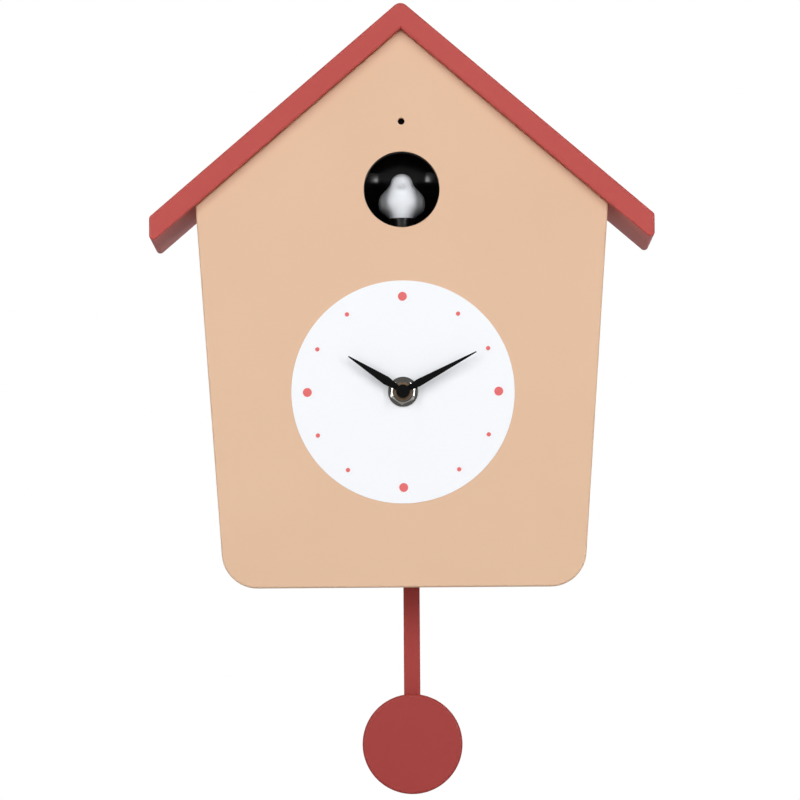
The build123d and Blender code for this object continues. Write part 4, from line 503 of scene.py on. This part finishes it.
def cross_head_screws(title, node, body, head_r, head_t):
    """Pan-head screws with a cross recess, driven from behind, in the places of a node's plain ones."""
    axis_r, shank_r, land_r, land_steps = 0.0002, head_r * 0.48, head_r * 0.62, 48
    slot, reach, sink, draft = head_r * 0.17, head_r * 0.58, head_t * 0.8, 0.7
    cross = [(slot, reach), (slot, slot), (reach, slot), (reach, -slot), (slot, -slot), (slot, -reach)]
    cross += [(-x, -z) for x, z in cross]
    bearings = [2 * pi * i / land_steps for i in range(land_steps)]
    # the domed rim runs from the flat land round the cross to the head's underside
    inside = [(axis_r, head_t * 0.9), (land_r, head_t * 0.9)]
    rim = [(land_r, 0.0), (head_r * 0.86, head_t * 0.14), (head_r, head_t * 0.45), (head_r, head_t)]
    screws = bmesh.new()
    for low, high in islands(node):
        middle = Vector(((low.x + high.x) / 2, high.y, (low.z + high.z) / 2))
        length = high.y - low.y
        shank = [(shank_r, head_t), (shank_r, length - head_t), (axis_r, length)]
        turned(screws, inside + rim + shank, middle, (0, -1, 0), 32)
        top = [screws.verts.new(middle + Vector((x, 0, z))) for x, z in cross]
        deep = [screws.verts.new(middle + Vector((x * draft, -sink, z * draft))) for x, z in cross]
        edge = [screws.verts.new(middle + Vector((land_r * cos(b), 0, land_r * sin(b)))) for b in bearings]
        for i in range(len(cross)):
            screws.faces.new((top[i], top[i - 1], deep[i - 1], deep[i]))
        screws.faces.new(deep)
        loops = [screws.edges.new((edge[i - 1], edge[i])) for i in range(land_steps)]
        loops += [screws.edges.get((top[i - 1], top[i])) for i in range(len(cross))]
        bmesh.ops.triangle_fill(screws, use_beauty=True, edges=loops)
    return piece(title, screws, zinc_steel, body, node)


cross_head_screws("bob_cross_screws", "bob_screws", "pendulum", 0.0026, 0.0015)

# Loudspeaker: a pressed steel basket glued by its rim behind the grille, with a black paper cone and a ring
# magnet. Paper pulp is rough and fibrous.
dress(zinc_steel, "speaker_basket", "speaker_magnet")
cone_pulp = finish("black_paper_pulp")
where = add(cone_pulp, "ShaderNodeTexCoord", {}, {})
pulp = add(cone_pulp, "ShaderNodeTexNoise", {}, {
    "Vector": where.outputs["Object"], "Scale": 1 / 0.0009, "Detail": 5.0})
tone = add(cone_pulp, "ShaderNodeMix", {"data_type": "RGBA"}, {
    0: pulp.outputs["Fac"], 6: linear("#141312"), 7: linear("#2A2825")})
felt = add(cone_pulp, "ShaderNodeBump", {}, {
    "Height": pulp.outputs["Fac"], "Strength": 0.5, "Distance": 0.0003})
surface = add(cone_pulp, "ShaderNodeBsdfPrincipled", {}, {
    "Base Color": tone.outputs[2], "Roughness": 0.9, "Normal": felt.outputs["Normal"]})
add(cone_pulp, "ShaderNodeOutputMaterial", {}, {"Surface": surface.outputs["BSDF"]})
dress(cone_pulp, "speaker_cone")

# Sound board: glass-epoxy laminate under green solder mask, on four bosses of the back, with its chip, slide
# switch and push switch. The mask is glossy and its tracks stand out a little, 2 mm apart.
solder_mask = finish("green_solder_mask")
where = add(solder_mask, "ShaderNodeTexCoord", {}, {})
upright = add(solder_mask, "ShaderNodeMapping", {}, {
    "Vector": where.outputs["Object"], "Rotation": (pi / 2, 0, 0)})
tracks = add(solder_mask, "ShaderNodeTexBrick", {"offset": 0.5}, {
    "Vector": upright.outputs["Vector"], "Color1": linear("#0F3B1E"), "Color2": linear("#134A26"),
    "Mortar": linear("#2C6A3B"), "Scale": 1.0, "Mortar Size": 0.0002, "Brick Width": 0.008,
    "Row Height": 0.002})
surface = add(solder_mask, "ShaderNodeBsdfPrincipled", {}, {
    "Base Color": tracks.outputs["Color"], "Roughness": 0.28, "IOR": 1.55})
add(solder_mask, "ShaderNodeOutputMaterial", {}, {"Surface": surface.outputs["BSDF"]})
dress(solder_mask, "sound_board")
dress(sensor_epoxy, "sound_chip", "test_switch", "volume_switch")
dress(zinc_steel, "board_screws")

# Battery bay: a moulded ABS tray screwed behind the back's opening, with plated spring contacts and three
# cells laid head to tail. Each cell is a steel can in a plain shrink sleeve, a dark film with faint scuffs.
dress(black_abs, "battery_tray")
dress(zinc_steel, "bay_screws")
shrink_sleeve = finish("grey_shrink_sleeve")
where = add(shrink_sleeve, "ShaderNodeTexCoord", {}, {})
scuff = add(shrink_sleeve, "ShaderNodeTexNoise", {}, {
    "Vector": where.outputs["Object"], "Scale": 1 / 0.003, "Detail": 4.0})
tone = add(shrink_sleeve, "ShaderNodeMix", {"data_type": "RGBA"}, {
    0: scuff.outputs["Fac"], 6: linear("#2B2F36"), 7: linear("#3A4049")})
sheen = add(shrink_sleeve, "ShaderNodeMapRange", {}, {
    "Value": scuff.outputs["Fac"], "To Min": 0.22, "To Max": 0.4})
surface = add(shrink_sleeve, "ShaderNodeBsdfPrincipled", {}, {
    "Base Color": tone.outputs[2], "Roughness": sheen.outputs["Result"], "IOR": 1.52})
add(shrink_sleeve, "ShaderNodeOutputMaterial", {}, {"Surface": surface.outputs["BSDF"]})
# Profiles as (radius, along) from the flat end: the can with its rolled edges and button, then the sleeve
can = [(0.0002, 0.0), (0.0052, 0.0), (0.0055, 0.0004), (0.0067, 0.0004), (0.0069, 0.0007), (0.0069, 0.0480)]
can += [(0.0064, 0.0486), (0.0050, 0.0486), (0.0046, 0.0490), (0.0027, 0.0490), (0.0026, 0.0503)]
can += [(0.0024, 0.0505), (0.0002, 0.0505)]
sleeve = [(0.0064, 0.0001), (0.0069, 0.0001), (0.0071, 0.0004), (0.0071, 0.0484), (0.0069, 0.0489)]
sleeve += [(0.0061, 0.0489), (0.0061, 0.0487), (0.00692, 0.0482), (0.00692, 0.0006)]
cans, sleeves = bmesh.new(), bmesh.new()
for row, (low, high) in enumerate(islands("battery_cells")):
    way = 1 - 2 * (row % 2)
    start = Vector((low.x if way > 0 else high.x, (low.y + high.y) / 2, (low.z + high.z) / 2))
    turned(cans, can, start, (way, 0, 0), 40)
    turned(sleeves, sleeve, start, (way, 0, 0), 40)
piece("cell_sleeves", sleeves, shrink_sleeve, "case", "battery_cells")
piece("cell_cans", cans, nickel_plate, "case")
dress(nickel_plate, "battery_contacts")

# Setting shaft and knob, volume lever and test button: small mouldings in the same matte black ABS. They are
# pushed on the movement and on the board's switches, and reached through holes in the back.
dress(black_abs, "setting_shaft", "setting_knob", "volume_slider", "test_button")

# Back: one ABS moulding with the keyhole, grille and openings, held by eight cross-head screws in
# counterbores. The battery door snaps on two pins, and has moulded grip ribs at its free edge.
dress(black_abs, "back_panel")
cross_head_screws("back_cross_screws", "back_screws", "case", 0.00255, 0.0015)
grip_from_x = 0.016
ribbed_abs = finish("ribbed_black_abs")
where = add(ribbed_abs, "ShaderNodeTexCoord", {}, {})
spark = add(ribbed_abs, "ShaderNodeTexNoise", {}, {
    "Vector": where.outputs["Object"], "Scale": 1 / 0.0007, "Detail": 3.0})
ribs = add(ribbed_abs, "ShaderNodeTexWave", {"bands_direction": "X", "wave_profile": "TRI"}, {
    "Vector": where.outputs["Object"], "Scale": pi / (10 * 0.0016)})
split = add(ribbed_abs, "ShaderNodeSeparateXYZ", {}, {"Vector": where.outputs["Object"]})
zone = add(ribbed_abs, "ShaderNodeMath", {"operation": "GREATER_THAN"}, {
    0: split.outputs["X"], 1: grip_from_x})
raised = add(ribbed_abs, "ShaderNodeMath", {"operation": "MULTIPLY"}, {
    0: zone.outputs["Value"], 1: ribs.outputs["Fac"]})
relief = add(ribbed_abs, "ShaderNodeMath", {"operation": "MULTIPLY_ADD"}, {
    0: spark.outputs["Fac"], 1: 0.3, 2: raised.outputs["Value"]})
grip = add(ribbed_abs, "ShaderNodeBump", {}, {
    "Height": relief.outputs["Value"], "Strength": 0.8, "Distance": 0.0005})
tone = add(ribbed_abs, "ShaderNodeMix", {"data_type": "RGBA"}, {
    0: spark.outputs["Fac"], 6: linear("#1C1C1D"), 7: linear("#262627")})
surface = add(ribbed_abs, "ShaderNodeBsdfPrincipled", {}, {
    "Base Color": tone.outputs[2], "Roughness": 0.5, "Normal": grip.outputs["Normal"], "IOR": 1.53,
    "Specular IOR Level": 0.4})
add(ribbed_abs, "ShaderNodeOutputMaterial", {}, {"Surface": surface.outputs["BSDF"]})
dress(ribbed_abs, "battery_door")

# Studio: a pale paper floor well below the clock and a white surround, brighter behind the clock as a lit
# backdrop is. Two strip softboxes stand in front at the sides, a broad one above the camera, and two behind
# the clock light only its roof and back.
floor_drop = 0.25
floor_mesh = bmesh.new()
bmesh.ops.create_grid(floor_mesh, x_segments=2, y_segments=2, size=4.0)
floor_data = bpy.data.meshes.new("studio_floor")
floor_mesh.to_mesh(floor_data)
floor_mesh.free()
floor = bpy.data.objects.new("studio_floor", floor_data)
floor.location = (0, 0, cad_box[0][2] - floor_drop)
bpy.context.scene.collection.objects.link(floor)
pale_floor = finish("pale_studio_paper")
path = add(pale_floor, "ShaderNodeLightPath", {}, {})
through = add(pale_floor, "ShaderNodeMath", {"operation": "MAXIMUM"}, {
    0: path.outputs["Is Camera Ray"], 1: path.outputs["Is Transmission Ray"]})
paper = add(pale_floor, "ShaderNodeBsdfDiffuse", {}, {"Color": linear("#B8B8B8")})
glow = add(pale_floor, "ShaderNodeEmission", {}, {"Color": linear("#FFFFFF"), "Strength": 1.0})
share = add(pale_floor, "ShaderNodeMath", {"operation": "MULTIPLY"}, {0: through.outputs["Value"], 1: 0.9})
blend = add(pale_floor, "ShaderNodeMixShader", {}, {
    0: share.outputs["Value"], 1: paper.outputs["BSDF"], 2: glow.outputs["Emission"]})
add(pale_floor, "ShaderNodeOutputMaterial", {}, {"Surface": blend.outputs["Shader"]})
floor_data.materials.append(pale_floor)

surround = bpy.data.worlds.new("white_surround")
bpy.context.scene.world = surround
surround.use_nodes = True
surround.node_tree.nodes.clear()
heading = add(surround, "ShaderNodeTexCoord", {}, {})
split = add(surround, "ShaderNodeSeparateXYZ", {}, {"Vector": heading.outputs["Generated"]})
backdrop = add(surround, "ShaderNodeMapRange", {"interpolation_type": "SMOOTHSTEP"}, {
    "Value": split.outputs["Y"], "From Min": 0.3, "From Max": 0.8, "To Min": 0.20, "To Max": 0.9})
path = add(surround, "ShaderNodeLightPath", {}, {})
seen = add(surround, "ShaderNodeMath", {"operation": "MAXIMUM"}, {
    0: path.outputs["Is Camera Ray"], 1: path.outputs["Is Transmission Ray"]})
level = add(surround, "ShaderNodeMapRange", {}, {
    "Value": seen.outputs["Value"], "To Min": backdrop.outputs["Result"], "To Max": 1.0})
sky = add(surround, "ShaderNodeBackground", {}, {
    "Color": linear("#FFFFFF"), "Strength": level.outputs["Result"]})
add(surround, "ShaderNodeOutputWorld", {}, {"Surface": sky.outputs["Background"]})

aim = Vector((0, -0.08, -0.11))
for name, spot, wide, tall, power in (
    ("left_softbox", (-0.84, -1.28, 0.18), 0.22, 1.2, 8.6),
    ("right_softbox", (0.84, -1.28, 0.18), 0.22, 1.2, 8.6),
    ("front_softbox", (0.0, -2.40, 0.80), 1.8, 0.9, 11.0),
    ("top_softbox", (0.0, 0.55, 1.70), 1.6, 0.9, 14),
    ("rear_softbox", (0.9, 1.70, 0.35), 0.9, 1.2, 16),
):
    lamp = bpy.data.lights.new(name, "AREA")
    lamp.shape = "RECTANGLE"
    lamp.size = wide
    lamp.size_y = tall
    lamp.energy = power
    box = bpy.data.objects.new(name, lamp)
    box.location = spot
    box.rotation_euler = (aim - Vector(spot)).to_track_quat("-Z", "Y").to_euler()
    bpy.context.scene.collection.objects.link(box)

# Camera: a long lens about 3 m away, at the height of the pendulum's bar and tipped up a little. It stands
# almost straight in front, as the photo was taken.
picture_px, focal_px, sensor_mm = 800, 7075, 36.0
lens = bpy.data.cameras.new("long_lens")
lens.sensor_width = sensor_mm
lens.lens = focal_px / picture_px * sensor_mm
lens.clip_start = 0.1
lens.clip_end = 50.0
camera = bpy.data.objects.new("long_lens", lens)
tip, pan, tilt = radians(90 + 2.83), radians(0.09), radians(-0.40)
stand = Matrix.Translation((0.0034, -3.085, -0.264))
camera.matrix_world = (
    stand
    @ Matrix.Rotation(pan, 4, "Z") @ Matrix.Rotation(tip, 4, "X") @ Matrix.Rotation(tilt, 4, "Z")
)
bpy.context.scene.collection.objects.link(camera)
bpy.context.scene.camera = camera
bpy.context.scene.view_settings.view_transform = "Standard"
